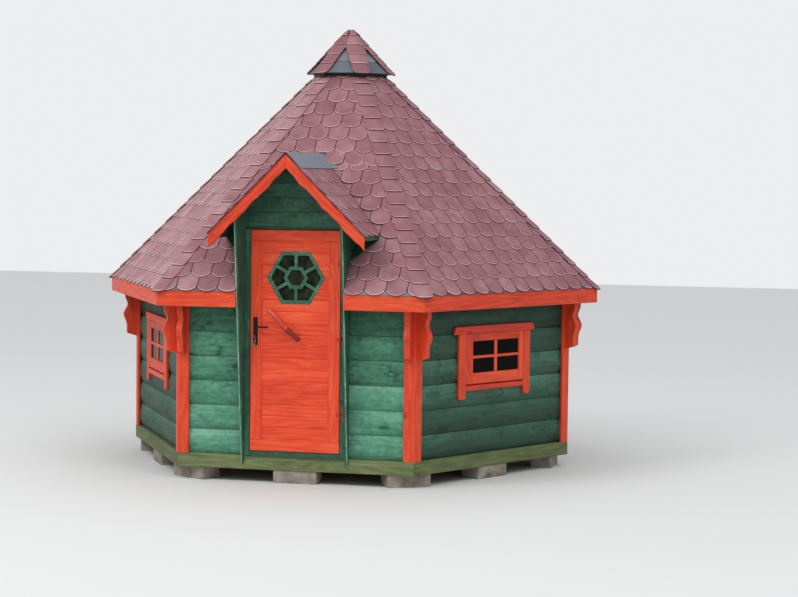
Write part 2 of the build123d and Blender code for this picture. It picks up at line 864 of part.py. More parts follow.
# Windows: sash, glass and trim boards on four of the walls
def window_part(name, draw, reach, depth):
    """The same piece on each window wall, drawn on the wall's face and extruded outwards."""
    with BuildPart() as pieces:
        for side in window_sides:
            with BuildPart(mode=Mode.PRIVATE) as piece:
                with BuildSketch(face_plane(sides[side], reach)):
                    draw()
                extrude(amount=depth)
            add(piece.part)
    save(pieces, name)


def draw_sash():
    middle = (window_bottom + window_top) / 2
    with Locations((0, middle)):
        Rectangle(2 * (window_half_width - fit_gap), window_top - window_bottom - 2 * fit_gap)
    pane_width = window_half_width - sash_stile - sash_post / 2
    pane_height = (window_top - window_bottom - sash_top_rail - sash_bottom_rail - sash_bar) / 2
    low = window_bottom + sash_bottom_rail + pane_height / 2
    for height in (low, low + pane_height + sash_bar):
        for turn in (-1, 1):
            with Locations((turn * (sash_post / 2 + pane_width / 2), height)):
                Rectangle(pane_width, pane_height, mode=Mode.SUBTRACT)


def draw_window_glass():
    with Locations((0, (window_bottom + window_top) / 2)):
        Rectangle(2 * (window_half_width - fit_gap), window_top - window_bottom - 2 * fit_gap)


def draw_lintel():
    """A cap board whose ends round over at the top and flare out at the foot."""
    top = window_top + lintel_height
    shoulder = lintel_half_length - lintel_top_inset
    left_foot = (-lintel_half_length, window_top)
    right_foot = (lintel_half_length, window_top)
    with BuildLine() as outline:
        Line(left_foot, right_foot)
        Spline(right_foot, (shoulder, top), tangents=((0, 1), (-1, 0)))
        Line((shoulder, top), (-shoulder, top))
        Spline((-shoulder, top), left_foot, tangents=((-1, 0), (0, -1)))
    make_face(outline.edges())


def draw_jambs():
    low = window_bottom - trim_foot_drop
    for turn in (-1, 1):
        with Locations((turn * (window_half_width + trim_width / 2), (low + window_top) / 2)):
            Rectangle(trim_width, window_top - low)
    fillet(vertices().group_by(Axis.Y)[0], radius=trim_foot_radius)


def draw_rail():
    with Locations((0, window_bottom - rail_height / 2)):
        Rectangle(2 * window_half_width - 2 * fit_gap, rail_height)


sash_reach = wall_reach - sash_thickness
window_part("window_sashes", draw_sash, sash_reach, sash_thickness)
window_part("window_glass", draw_window_glass, sash_reach - window_glass_thickness, window_glass_thickness)
window_part("window_lintels", draw_lintel, wall_reach, trim_thickness)
window_part("window_jamb_boards", draw_jambs, wall_reach, trim_thickness)
window_part("window_bottom_rails", draw_rail, wall_reach, trim_thickness)
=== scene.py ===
import math
import random

import bmesh
import bpy
from mathutils import Matrix, Vector


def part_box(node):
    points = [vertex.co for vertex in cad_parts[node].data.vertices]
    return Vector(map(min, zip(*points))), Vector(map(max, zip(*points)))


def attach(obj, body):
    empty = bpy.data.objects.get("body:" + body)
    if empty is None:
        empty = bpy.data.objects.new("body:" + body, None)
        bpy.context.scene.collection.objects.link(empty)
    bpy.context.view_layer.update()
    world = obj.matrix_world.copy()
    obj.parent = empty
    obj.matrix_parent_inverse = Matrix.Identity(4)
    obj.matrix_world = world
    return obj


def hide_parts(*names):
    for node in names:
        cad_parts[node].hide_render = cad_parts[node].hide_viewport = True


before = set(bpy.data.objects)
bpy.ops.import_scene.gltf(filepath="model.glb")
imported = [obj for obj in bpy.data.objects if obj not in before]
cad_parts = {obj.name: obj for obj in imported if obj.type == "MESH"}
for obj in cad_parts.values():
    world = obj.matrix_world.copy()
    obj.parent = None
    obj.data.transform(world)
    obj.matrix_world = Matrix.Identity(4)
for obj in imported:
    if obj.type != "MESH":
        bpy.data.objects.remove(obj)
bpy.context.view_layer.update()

# A six-sided grill hut of stained boards, with round-tabbed shingles and a dormer over its door.
# Everything is in metres. The door looks along -Y and the ground is at height 0.
random.seed(23)
scene = bpy.context.scene
scene.view_settings.view_transform = "Standard"

# the hut's own lines, read from the frame
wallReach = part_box("rear_wall")[1].y
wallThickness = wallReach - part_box("rear_wall")[0].y
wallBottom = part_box("rear_wall")[0].z
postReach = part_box("base_frame")[1].y
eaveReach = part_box("fascia_boards")[1].y
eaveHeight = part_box("fascia_boards")[1].z
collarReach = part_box("vent_collar")[1].y
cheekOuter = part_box("dormer_cheek_right")[1].x
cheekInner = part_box("dormer_cheek_right")[0].x
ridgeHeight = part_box("dormer_roof_right")[1].z
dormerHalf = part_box("dormer_roof_right")[1].x
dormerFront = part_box("bargeboard_right")[0].y
dormerEave = ridgeHeight - dormerHalf
roofRise = (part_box("roof_panel_rear")[1].z - eaveHeight) / (eaveReach - collarReach)
apexHeight = eaveHeight + eaveReach * roofRise
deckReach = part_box("roof_panel_rear")[1].y
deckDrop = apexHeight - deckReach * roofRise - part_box("roof_panel_rear")[0].z
pitch = math.atan(roofRise)
cosPitch, sinPitch = math.cos(pitch), math.sin(pitch)
tanCorner = math.tan(math.radians(30))   # a hexagon's corner, seen from its middle
cos30 = math.cos(math.radians(30))
cos45 = math.sqrt(0.5)   # the dormer's slopes
halves = (("left", -1), ("right", 1))
sides = {"front": -90, "right_front": -30, "right_rear": 30, "rear": 90, "left_rear": 150, "left_front": 210}
windowSides = ("right_front", "right_rear", "left_rear", "left_front")
print("frame read, apex at", round(apexHeight, 3))


# Finishes

def tint(red, green, blue):
    # a colour as a picture shows it, 0 to 255, turned to the linear values that nodes want
    return tuple((c / 255 / 12.92) if c < 11 else ((c / 255 + 0.055) / 1.055) ** 2.4
                 for c in (red, green, blue)) + (1.0,)


class NodeTree:
    def __init__(self, owner):
        owner.use_nodes = True
        self.nodes, self.links = owner.node_tree.nodes, owner.node_tree.links

    def feed(self, socket, value):
        if isinstance(value, bpy.types.NodeSocket):
            self.links.new(value, socket)
        elif value is not None:
            socket.default_value = value

    def node(self, kind, output=0, **values):
        # a new node, its inputs linked or set by their names
        node = self.nodes.new("ShaderNode" + kind)
        for name, value in values.items():
            self.feed(node.inputs[name], value)
        return node.outputs[output]

    def math(self, operation, *values):
        node = self.nodes.new("ShaderNodeMath")
        node.operation = operation
        for socket, value in zip(node.inputs, values):
            self.feed(socket, value)
        return node.outputs[0]


class Finish(NodeTree):
    def __init__(self, name, roughness=0.6, specular=0.4, metallic=0.0):
        self.material = bpy.data.materials.new(name)
        super().__init__(self.material)
        self.shader = self.nodes["Principled BSDF"]
        for name, value in (("Roughness", roughness), ("Specular IOR Level", specular), ("Metallic", metallic)):
            self.shader.inputs[name].default_value = value

    def attribute(self, name, output):
        node = self.nodes.new("ShaderNodeAttribute")
        node.attribute_name = name
        return node.outputs[output]

    def stretch(self, where, scale, turn=(0, 0, 0)):
        return self.node("Mapping", "Vector", Vector=where, Scale=scale, Rotation=[math.radians(a) for a in turn])

    def place(self, turn=None):
        # boards carry their own grain; a frame node uses its own axes, turned so that x runs with the grain
        if turn is None:
            return self.attribute("grain", "Vector")
        return self.stretch(self.node("TexCoord", "Object"), (1, 1, 1), turn)

    def noise(self, where, scale, detail=3.0, rough=0.5, distortion=0.0):
        return self.node("TexNoise", "Fac", Vector=where, Scale=scale, Detail=detail, Roughness=rough,
                         Distortion=distortion)

    def cells(self, where, scale):
        distance = self.node("TexVoronoi", "Distance", Vector=where, Scale=scale)
        return distance, distance.node.outputs["Color"]

    def span(self, value, fromLow, fromHigh, toLow=0.0, toHigh=1.0):
        node = self.nodes.new("ShaderNodeMapRange")
        node.interpolation_type = "SMOOTHSTEP"
        for socket, number in zip(node.inputs, (value, fromLow, fromHigh, toLow, toHigh)):
            self.feed(socket, number)
        return node.outputs["Result"]

    def ramp(self, value, stops):
        node = self.nodes.new("ShaderNodeValToRGB")
        self.links.new(value, node.inputs["Fac"])
        elements = node.color_ramp.elements
        while len(elements) < len(stops):
            elements.new(0.5)
        for element, (position, colour) in zip(elements, stops):
            element.position = position
            element.color = tint(*colour)
        return node.outputs["Color"]

    def mix(self, factor, first, second):
        node = self.nodes.new("ShaderNodeMix")
        node.data_type = "RGBA"
        for name, value in (("Factor_Float", factor), ("A_Color", first), ("B_Color", second)):
            self.feed(next(s for s in node.inputs if s.identifier == name), value)
        return next(s for s in node.outputs if s.identifier == "Result_Color")

    def blend(self, parts):
        # adds each part's swing about one half, by its own amount
        value = 0.5
        for part, amount in parts:
            value = self.math("ADD", value, self.math("MULTIPLY", self.math("SUBTRACT", part, 0.5), amount))
        return value

    def bump(self, height, depth, strength=1.0):
        self.feed(self.shader.inputs["Normal"],
                  self.node("Bump", "Normal", Height=height, Distance=depth, Strength=strength))

    def finish(self, colour, roughness=None):
        self.feed(self.shader.inputs["Base Color"], colour)
        self.feed(self.shader.inputs["Roughness"], roughness)
        return self.material


# each noise of the wood: its squeeze along and across the grain, scale, detail, roughness and distortion
woodNoise = {"streaks": ((2.2, 55, 55), 1.0, 4, 0.62), "rings": ((0.9, 8.5, 8.5), 1.0, 2, 0.5, 0.5),
             "blotches": ((1.0, 2.4, 2.4), 3.2, 4, 0.6), "mottle": ((1.2, 1.6, 1.6), 17, 5, 0.7),
             "patches": ((1.3, 1.8, 1.8), 3.0, 3, 0.6)}


def stainedWood(name, look, turn=None):
    wood = Finish(name, specular=0.35)
    where = wood.place(turn)
    tone = wood.attribute("tone", "Fac") if turn is None else 0.5
    streaks, rings, blotches, mottle, patches = (wood.noise(wood.stretch(where, squeeze), *more)
                                                 for squeeze, *more in woodNoise.values())
    rings = wood.math("PINGPONG", wood.math("MULTIPLY", rings, 9.0), 0.5)
    stain = wood.math("MULTIPLY", wood.span(patches, 0.5, 0.75), wood.span(mottle, 0.7, 0.3))
    distance, cell = wood.cells(wood.stretch(where, (2.6, 8.0, 5.0)), 1.0)
    chance = wood.math("GREATER_THAN", cell, 1 - look["knots"])
    knot = wood.math("MULTIPLY", wood.span(distance, 0.05, look["knotSize"], 1.0, 0.0), chance)
    value = wood.blend(((streaks, look["streaks"]), (wood.math("MULTIPLY", rings, 2.0), look["rings"]),
                        (blotches, look["blotches"]), (mottle, look["mottle"]), (tone, look["boards"])))
    value = wood.math("SUBTRACT", value, wood.math("MULTIPLY", stain, look["stains"]))
    colour = wood.ramp(value, ((0.0, look["dark"]), (0.5, look["middle"]), (1.0, look["light"])))
    colour = wood.mix(wood.math("MULTIPLY", knot, 0.8), colour, tint(*look["knot"]))
    wood.bump(wood.math("ADD", streaks, wood.math("MULTIPLY", rings, 0.5)), 0.0012, 0.5)
    return wood.finish(colour, wood.span(blotches, 0.3, 0.7, look["rough"] - 0.08, look["rough"] + 0.08))


def bitumen(name, dark, middle, light, clouds, swing):
    cover = Finish(name, specular=0.15)
    where = cover.attribute("grain", "Vector")
    tone = cover.attribute("tone", "Fac")
    grit = cover.noise(where, 420, 2, 0.7)
    cloud = cover.noise(where, 6.5, 4, 0.6)
    value = cover.blend(((grit, 0.55), (cloud, clouds), (tone, swing)))
    colour = cover.ramp(value, ((0.1, dark), (0.5, middle), (0.9, light)))
    cover.bump(grit, 0.0015, 0.6)
    return cover.finish(colour, cover.span(grit, 0.3, 0.7, 0.85, 0.97))


plainLook = {"streaks": 0.35, "rings": 0.25, "blotches": 0.5, "mottle": 0.25, "stains": 0.0, "boards": 0.3,
             "knots": 0.3, "knotSize": 0.15, "rough": 0.65}
greenLook = dict(plainLook, dark=(26, 64, 52), middle=(80, 142, 114), light=(136, 192, 162), knot=(36, 66, 56),
                 streaks=0.3, rings=0.12, blotches=0.65, mottle=0.7, stains=0.45, boards=0.35, knots=0.25,
                 knotSize=0.17, rough=0.62)
# the side walls get a darker copy of the green stain: painted shade
shadedSideGreenLook = dict(greenLook, dark=(20, 40, 32), middle=(46, 84, 66), light=(88, 138, 112), blotches=0.4,
                     mottle=0.4)
highlightGreenLook = dict(greenLook, dark=(40, 84, 64), middle=(96, 150, 120), light=(170, 208, 172), blotches=1.0)
deepGreenLook = dict(greenLook, dark=(20, 42, 34), middle=(46, 88, 68), light=(92, 142, 114))
latticeLook = dict(greenLook, middle=(60, 104, 84), light=(122, 178, 146))
# the collar is darkened to near black: painted shade under the hat
collarShadeLook = dict(deepGreenLook, dark=(10, 16, 14), middle=(24, 36, 30), light=(44, 58, 50))
redLook = dict(plainLook, dark=(150, 28, 22), middle=(222, 68, 36), light=(242, 108, 62), knot=(112, 22, 20),
               knots=0.35, rough=0.5)
doorLook = dict(redLook, dark=(180, 36, 22), middle=(236, 76, 42), light=(252, 118, 70), boards=0.18, knots=0.12)
branchLook = dict(doorLook, dark=(150, 34, 26), middle=(210, 66, 44), light=(246, 150, 122), streaks=0.6,
                  blotches=1.0)
darkBranchLook = dict(redLook, dark=(50, 16, 14), middle=(130, 38, 28), light=(186, 76, 54))
oliveLook = dict(plainLook, dark=(48, 56, 32), middle=(98, 110, 68), light=(140, 150, 104), knot=(50, 52, 32),
                 streaks=0.6, blotches=0.6, boards=0.25, knots=0.2, rough=0.7)
bareLook = dict(plainLook, dark=(150, 108, 66), middle=(198, 158, 108), light=(222, 188, 140), knot=(104, 62, 36),
                streaks=0.45, rings=0.4, blotches=0.3, knotSize=0.14)
uprightTurn = (0, 90, 0)
green = stainedWood("green stain", greenLook)
shadedSideGreen = stainedWood("side green stain, painted shade", shadedSideGreenLook)
highlightGreen = stainedWood("green edge highlight", highlightGreenLook)
deepGreen = stainedWood("deep green stain", deepGreenLook)
deepGreenUpright = stainedWood("deep green stain, upright", deepGreenLook, uprightTurn)
red = stainedWood("red stain", redLook)
redUpright = stainedWood("red stain, upright", redLook, uprightTurn)
doorRed = stainedWood("red door stain", doorLook)
branchRed = stainedWood("red branch", branchLook)
branchBrown = stainedWood("dark branch", darkBranchLook)
olive = stainedWood("impregnated beam", oliveLook)
bare = stainedWood("bare pine", bareLook)
shingle = bitumen("red shingle", (96, 56, 62), (148, 102, 108), (196, 160, 160), 0.5, 0.16)
# painted highlight: the pale band along each tab's lower rim
shingleHighlight = bitumen("red shingle, painted highlight", (150, 108, 110), (212, 178, 176), (238, 218, 216), 0.5, 0.3)
# painted shadow: the dark rim round each tab and the undersides
shingleShadow = bitumen("painted shadow under tabs", (50, 28, 30), (74, 44, 46), (104, 70, 72), 0.2, 0.2)
felt = bitumen("grey felt", (92, 96, 104), (128, 132, 142), (164, 168, 176), 0.4, 0.3)
darkFelt = bitumen("dark grey felt", (70, 74, 82), (104, 108, 118), (146, 146, 150), 0.5, 0.4)


def makeConcrete():
    block = Finish("concrete block", specular=0.2)
    where = block.place((0, 0, 0))
    patches = block.noise(where, 9, 6, 0.65)
    pores = block.noise(where, 160, 2, 0.6)
    colour = block.ramp(patches, ((0.3, (112, 103, 92)), (0.5, (150, 141, 129)), (0.7, (178, 170, 158))))
    block.bump(pores, 0.002, 0.7)
    return block.finish(colour, block.span(pores, 0.3, 0.7, 0.8, 0.95))


def wornSurface(name, scale, dark, light, wear, roughness, depth=0.0, **shine):
    # one noise shades it between two colours and roughens it; wear is the range of the noise that does so
    surface = Finish(name, **shine)
    marks = surface.noise(surface.place((0, 0, 0)), scale, 4, 0.6)
    if depth:
        surface.bump(marks, depth, 0.4)
    return surface.finish(surface.ramp(marks, ((0.35, dark), (0.65, light))), surface.span(marks, *wear, *roughness))


def makeGlass(name, dark, light):
    # the room behind is dark, so the panes are coloured nearly black: painted shade
    return wornSurface(name, 14, dark, light, (0.35, 0.75), (0.05, 0.16), specular=0.04)


def makeIron(name, dark, light, roughness, metallic):
    return wornSurface(name, 60, dark, light, (0.3, 0.7), (roughness - 0.1, roughness + 0.1), 0.0004,
                       metallic=metallic)


concrete = makeConcrete()
glass = makeGlass("dark pane", (5, 5, 4), (14, 15, 10))
# the door pane's lighter greenish mottle is a painted reflection
doorGlass = makeGlass("door pane", (14, 17, 12), (52, 60, 38))
blackIron = makeIron("black iron", (14, 14, 15), (38, 37, 38), 0.4, 0.6)
paintedIron = makeIron("painted hinge", (150, 44, 34), (206, 78, 54), 0.5, 0.2)
keySteel = makeIron("key steel", (120, 118, 112), (196, 194, 188), 0.3, 1.0)
shingleSkins = [shingle, shingleHighlight, felt, shingleShadow]
print("finishes made")


# Ways of making pieces

class Pile:
    # many boards or tabs that are joined into one mesh, each with its own grain and tone
    def __init__(self, name):
        self.name = name
        self.points, self.faces, self.skins, self.grain, self.tone = [], [], [], [], []

    def add(self, rings, grains, tone, skin):
        # rings of points with the same count each, joined side to side and capped at both ends
        start, count = len(self.points), len(rings[0])
        skinAt = skin if callable(skin) else lambda r, i: skin
        for ring, grain in zip(rings, grains):
            self.points += ring
            self.grain += grain
        self.tone += (tone if isinstance(tone, list) else [tone] * count) * len(rings)
        for r in range(len(rings) - 1):
            for i in range(count):
                j = (i + 1) % count
                low, high = start + r * count, start + (r + 1) * count
                self.faces.append((low + i, low + j, high + j, high + i))
                self.skins.append(skinAt(r, i))
        last = start + (len(rings) - 1) * count
        self.faces += [tuple(range(start, start + count))[::-1], tuple(range(last, last + count))]
        self.skins += [skinAt(-1, 0), skinAt(len(rings), 0)]

    def build(self, materials, slot, body="hut", nodes=(), smooth=0):
        mesh = bpy.data.meshes.new(self.name)
        mesh.from_pydata(self.points, [], self.faces)
        for material in materials:
            mesh.materials.append(material)
        mesh.polygons.foreach_set("material_index", self.skins)
        grain = mesh.attributes.new("grain", "FLOAT_VECTOR", "POINT")
        grain.data.foreach_set("vector", [c for point in self.grain for c in point])
        tone = mesh.attributes.new("tone", "FLOAT", "POINT")
        tone.data.foreach_set("value", self.tone)
        shell = bmesh.new()
        shell.from_mesh(mesh)
        bmesh.ops.recalc_face_normals(shell, faces=shell.faces)
        shell.to_mesh(mesh)
        shell.free()
        if smooth:
            mesh.shade_smooth()
            mesh.set_sharp_from_angle(angle=math.radians(smooth))
        piece = bpy.data.objects.new(self.name, mesh)
        scene.collection.objects.link(piece)
        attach(piece, body)
        if nodes:
            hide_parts(*nodes)


def someTone(spread=0.5):
    return 0.5 + random.uniform(-spread, spread)


def someShift():
    return Vector((random.uniform(0, 40), random.uniform(0, 40), random.uniform(0, 40)))


def spotOf(xAxis, yAxis, zAxis, origin):
    spot = Matrix((xAxis, yAxis, zAxis)).transposed().to_4x4()
    spot.translation = origin
    return spot


def outward(angle):
    return Vector((math.cos(math.radians(angle)), math.sin(math.radians(angle)), 0))


def wallSpot(angle, reach):
    # x along the wall, y up, z outwards
    out = outward(angle)
    return spotOf((-out.y, out.x, 0), (0, 0, 1), out, out * reach)


def roofSpot(angle, reach, height):
    # x along the eave, y up the slope, z out of the roof
    out = outward(angle)
    up = (-cosPitch * out.x, -cosPitch * out.y, sinPitch)
    face = (sinPitch * out.x, sinPitch * out.y, cosPitch)
    return spotOf((-out.y, out.x, 0), up, face, out * reach + Vector((0, 0, height)))


def clip(outline, nx, ny, limit):
    # the part of an outline where nx * x + ny * y stays below the limit
    kept = []
    for (x0, y0), (x1, y1) in zip(outline, outline[1:] + outline[:1]):
        d0 = nx * x0 + ny * y0 - limit
        d1 = nx * x1 + ny * y1 - limit
        if d0 <= 0:
            kept.append((x0, y0))
        if d0 * d1 < 0:
            t = d0 / (d0 - d1)
            kept.append((x0 + (x1 - x0) * t, y0 + (y1 - y0) * t))
    return kept


smallestArea = 0.00002   # slivers below it are dropped
farOff = 9.0   # beyond every edge of the hut


def clipTo(outline, lines):
    for line in lines:
        outline = clip(outline, *line)
        if len(outline) < 3:
            return []
    area = sum(x0 * y1 - x1 * y0 for (x0, y0), (x1, y1) in zip(outline, outline[1:] + outline[:1])) / 2
    return outline if abs(area) > smallestArea else []


def addRings(pile, spot, rings, upright, tone, shift, skin):
    # the grain runs along the spot's x, or along its y in an upright board
    shift = someShift() if shift is None else shift
    tone = someTone() if tone is None else tone
    grains = [[shift + (point.yxz if upright else point) for point in ring] for ring in rings]
    pile.add([[spot @ point for point in ring] for ring in rings], grains, tone, skin)


def addLayers(pile, spot, layers, upright=False, tone=None, shift=None, skin=0):
    # outlines in the spot's plane, each at its own height, as one closed piece
    rings = []
    for outline, height in layers:
        lift = height if callable(height) else (lambda x, y, h=height: h)
        rings.append([Vector((x, y, lift(x, y))) for x, y in outline])
    addRings(pile, spot, rings, upright, tone, shift, skin)


def inset(outline, distance):
    # the same outline, drawn in by a distance on every side
    count = len(outline)
    area = sum(outline[i][0] * outline[(i + 1) % count][1] - outline[(i + 1) % count][0] * outline[i][1]
               for i in range(count))
    turn = 1 if area > 0 else -1
    moved = []
    for i in range(count):
        before, here, after = (Vector(outline[(i + k) % count]) for k in (-1, 0, 1))
        first = (here - before).normalized()
        second = (after - here).normalized()
        n0 = Vector((-first.y, first.x)) * turn
        n1 = Vector((-second.y, second.x)) * turn
        reach = (n0 + n1) / max(0.3, 1 + n0.dot(n1))
        moved.append(tuple(here + reach * distance))
    return moved


def addBoard(pile, spot, outline, low, high, edge=0.002, **more):
    # a board with its outer edges eased
    addLayers(pile, spot, [(outline, low), (outline, high - edge), (inset(outline, edge), high)], **more)


def box2(x0, x1, y0, y1):
    return [(x0, y0), (x1, y0), (x1, y1), (x0, y1)]


def addPlank(pile, spot, section, start, end, skin=0, tone=None, shift=None):
    # a section in y and z, drawn along x; each end is (x, lean), so that mitres follow the depth
    rings = [[Vector((x + lean * z, y, z)) for y, z in section] for x, lean in (start, end)]
    addRings(pile, spot, rings, False, tone, shift, skin)


def easedBar(low, high, back, edge):
    # the section of a sawn board in y and z, its front edges eased
    return [(low, back), (low, -edge), (low + edge, 0), (high - edge, 0), (high, -edge), (high, back)]


# Walls: rounded planks on each other, cut round the windows and the doorway

planks = {"height": 0.1926, "bulge": 0.017, "curve": 2.5, "steps": 14, "jointGap": 0.004, "jointDepth": 0.03,
          "paintedEaveShade": 0.9, "eaveStart": 1.2,   # painted shade: the planks under the eave are darkened painted light and shade: each plank is lighter at its top and darker at its foot
          "paintedShading": {"front": 0.5, "side": 1.1}}   # and is paler where a plank's round face looks up
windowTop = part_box("window_lintels")[0].z
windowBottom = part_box("window_bottom_rails")[1].z
windowHalf = 0.357
wallTop = apexHeight - wallReach * roofRise - deckDrop


def plankSection(low, high):
    face = []
    for i in range(planks["steps"] + 1):
        t = i / planks["steps"]
        depth = -planks["bulge"] * abs(2 * t - 1) ** planks["curve"]
        face.append((low + planks["jointGap"] / 2 + (high - low - planks["jointGap"]) * t, depth))
    slot = -planks["jointDepth"]
    return ([(low, -wallThickness), (low, slot), (face[0][0], slot)] + face
            + [(face[-1][0], slot), (high, slot), (high, -wallThickness)])


def addWall(pile, angle, spans):
    # spans are the stretches of wall beside an opening: (start, end, lowest height, highest height)
    spot = wallSpot(angle, wallReach)
    paintedShading = planks["paintedShading"]["front" if angle == sides["front"] else "side"]
    for row in range(math.ceil((wallTop - wallBottom) / planks["height"])):
        low = wallBottom + row * planks["height"]
        high = low + planks["height"]
        tone, shift = someTone(0.4), someShift()
        # painted shade: the planks above the eave's start are made darker
        if high > planks["eaveStart"]:
            tone -= planks["paintedEaveShade"]
        for start, end, bottom, top in spans:
            section = clipTo(plankSection(low, high), [(-1, 0, -bottom), (1, 0, top), (1, roofRise, wallTop)])
            if not section:
                continue
            inner = [abs(z + wallThickness) < 1e-4 for _, z in section]
            skins = lambda r, i: 1 if r == 0 and inner[i] and inner[(i + 1) % len(inner)] else 0
            # painted light and shade: lighter towards each plank's top, darker towards its foot
            tones = [tone + paintedShading * ((y - low) / planks["height"] - 0.5) for y, _ in section]
            addPlank(pile, spot, section, start, end, skins, tones, shift)


def buildWalls():
    corner = wallReach * tanCorner
    rightEnd, leftEnd = (corner, tanCorner), (-corner, -tanCorner)
    for name, angle in sides.items():
        if name == "front":
            for half, span in (("left", (leftEnd, (-cheekInner, 0))), ("right", ((cheekInner, 0), rightEnd))):
                pile = Pile(f"planks_front_{half}")
                addWall(pile, angle, [(*span, 0, farOff)])
                pile.build([green, bare], "wall", nodes=[f"front_wall_{half}"], smooth=35)
            continue
        pile = Pile(f"planks_{name}")
        if name in windowSides:
            addWall(pile, angle, [(leftEnd, rightEnd, 0, windowBottom), (leftEnd, rightEnd, windowTop, farOff),
                                  (leftEnd, (-windowHalf, 0), windowBottom, windowTop),
                                  ((windowHalf, 0), rightEnd, windowBottom, windowTop)])
        else:
            addWall(pile, angle, [(leftEnd, rightEnd, 0, farOff)])
        pile.build([shadedSideGreen, bare], "wall", nodes=[f"{name}_wall"], smooth=35)


buildWalls()
print("walls planked")


# Base: mitred beams and floor boards

beams = {"width": 0.095, "edge": 0.004, "gap": 0.0005}
floorBoards = {"width": 0.12, "groove": 0.002}


def buildBase():
    low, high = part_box("base_frame")[0].z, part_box("base_frame")[1].z
    pile = Pile("base_beams")
    for angle in sides.values():
        corner = postReach * tanCorner - beams["gap"]
        addPlank(pile, wallSpot(angle, postReach), easedBar(low, high, -beams["width"], beams["edge"]),
                 (-corner, -tanCorner), (corner, tanCorner))
    pile.build([olive], "base", nodes=["base_frame"])
    low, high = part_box("floor")
    pile = Pile("floor_boards")
    hexagon = [(*outward(angle).xy, high.y) for angle in sides.values()]
    width, groove = floorBoards["width"], floorBoards["groove"]
    end = high.y / cos30
    x = -end
    while x < end:
        board = clipTo(box2(x + groove / 2, x + width - groove / 2, -farOff, farOff), hexagon)
        if board:
            addBoard(pile, Matrix(), board, low.z, high.z, upright=True)
        x += width
    pile.build([bare], "floor", nodes=["floor"])


buildBase()


# Fascia boards round the eave

fascia = {"gap": 0.0004, "besideDormer": 0.0005, "edge": 0.004}


def buildFascia():
    low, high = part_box("fascia_boards")[0].z, eaveHeight
    section = easedBar(low, high, deckReach - eaveReach, fascia["edge"])
    corner = eaveReach * tanCorner - fascia["gap"]
    pile = Pile("eave_fascia")
    for name, angle in sides.items():
        ends = [((-corner, -tanCorner), (corner, tanCorner))]
        if name == "front":
            stop = cheekOuter + fascia["besideDormer"]
            ends = [((-corner, -tanCorner), (-stop, 0)), ((stop, 0), (corner, tanCorner))]
        for start, end in ends:
            addPlank(pile, wallSpot(angle, eaveReach), section, start, end)
    pile.build([red], "trim", nodes=["fascia_boards"])


buildFascia()


# Shingles: tabs in rows on each face, caps bent over the hips

tabs = {"width": 0.1667, "gap": 0.006, "exposure": 0.1438, "overlap": 0.07, "arc": 0.066, "square": 2.12,
        "thickness": 0.006, "base": 0.003, "lift": 0.01, "overhang": 0.01, "points": 10, "highlightBand": 0.004,
        "highlightDrop": 0.0024, "shadowRim": 0.004, "hipGap": 0.045,
        "phases": {"right_front": 0.588, "left_front": 0.2, "right_rear": 0.35, "rear": 0.7, "left_rear": 0.9}}
caps = {"half": 0.076, "exposure": 0.1433, "overlap": 0.05, "base": 0.01, "lift": 0.012, "thickness": 0.01,
        "shadowRim": 0.008, "corner": 0.032, "firstCorner": 0.045, "droop": 0.019, "bend": 0.05, "columns": 14,
        "narrowest": 0.015, "shortest": 0.03, "margin": 0.004, "fall": 1.4, "start": -0.004}
# on the front a narrow row was squeezed in, level with the dormer's ridge
frontRows = {"exposure": 0.1418, "squeezed": 9, "squeeze": 0.09, "shift": -0.465, "squeezedShift": -0.165,
             "halfRow": 7}
# the underlay's low tone is painted shade, darkening the slots between tabs and the gaps beneath them
shadowUnderlay = {"back": 0.0004, "front": 0.0014, "over": 0.004, "tone": 0.1}
# this strip shows between the lowest round ends
starterStrip = {"back": 0.0015, "front": 0.003, "over": 0.006, "top": 0.09, "skin": 2}
paintedGlare = {"tabs": 1.0, "caps": 0.6}   # painted highlight: the left side's tabs and caps are made paler, as from the sky glancing off them
lap = {"over": 0.03, "under": 0.0755, "first": 0.0235, "stand": 0.011, "fade": 0.8, "belowEave": 0.06}
# the corner that the dormer's eave shelters is left without tabs: only its green boards show
bareCorner = {"steep": 1.19, "foot": 0.324, "underTabs": 0.03, "overEave": 0.04, "back": 0.0005, "front": 0.004}
tabLength = tabs["exposure"] + tabs["overlap"]
roofTop = (eaveReach - collarReach) / cosPitch
halfEave = eaveReach * tanCorner
hipSlope = cosPitch * tanCorner
hipStretch = math.sqrt(1 + hipSlope ** 2)   # how much longer a hip is than its slope
valleyFoot = ridgeHeight - eaveHeight
ridgeLine = valleyFoot / sinPitch   # how far up the front slope the dormer's ridge and eave meet it
eaveLine = (dormerEave - eaveHeight) / sinPitch


def betweenHips(reach):
    return [(1, hipSlope, reach), (-1, hipSlope, reach)]


def tabOutline(middle, bottom):
    half = (tabs["width"] - tabs["gap"]) / 2
    points = []
    for i in range(tabs["points"] + 1):
        t = math.pi * i / tabs["points"]
        x = math.copysign(abs(math.cos(t)) ** (2 / tabs["square"]), -math.cos(t))
        y = math.sin(t) ** (2 / tabs["square"]) if 0 < i < tabs["points"] else 0
        points.append((middle + half * x, bottom + tabs["arc"] * (1 - y)))
    return points + [(middle + half, bottom + tabLength), (middle - half, bottom + tabLength)]


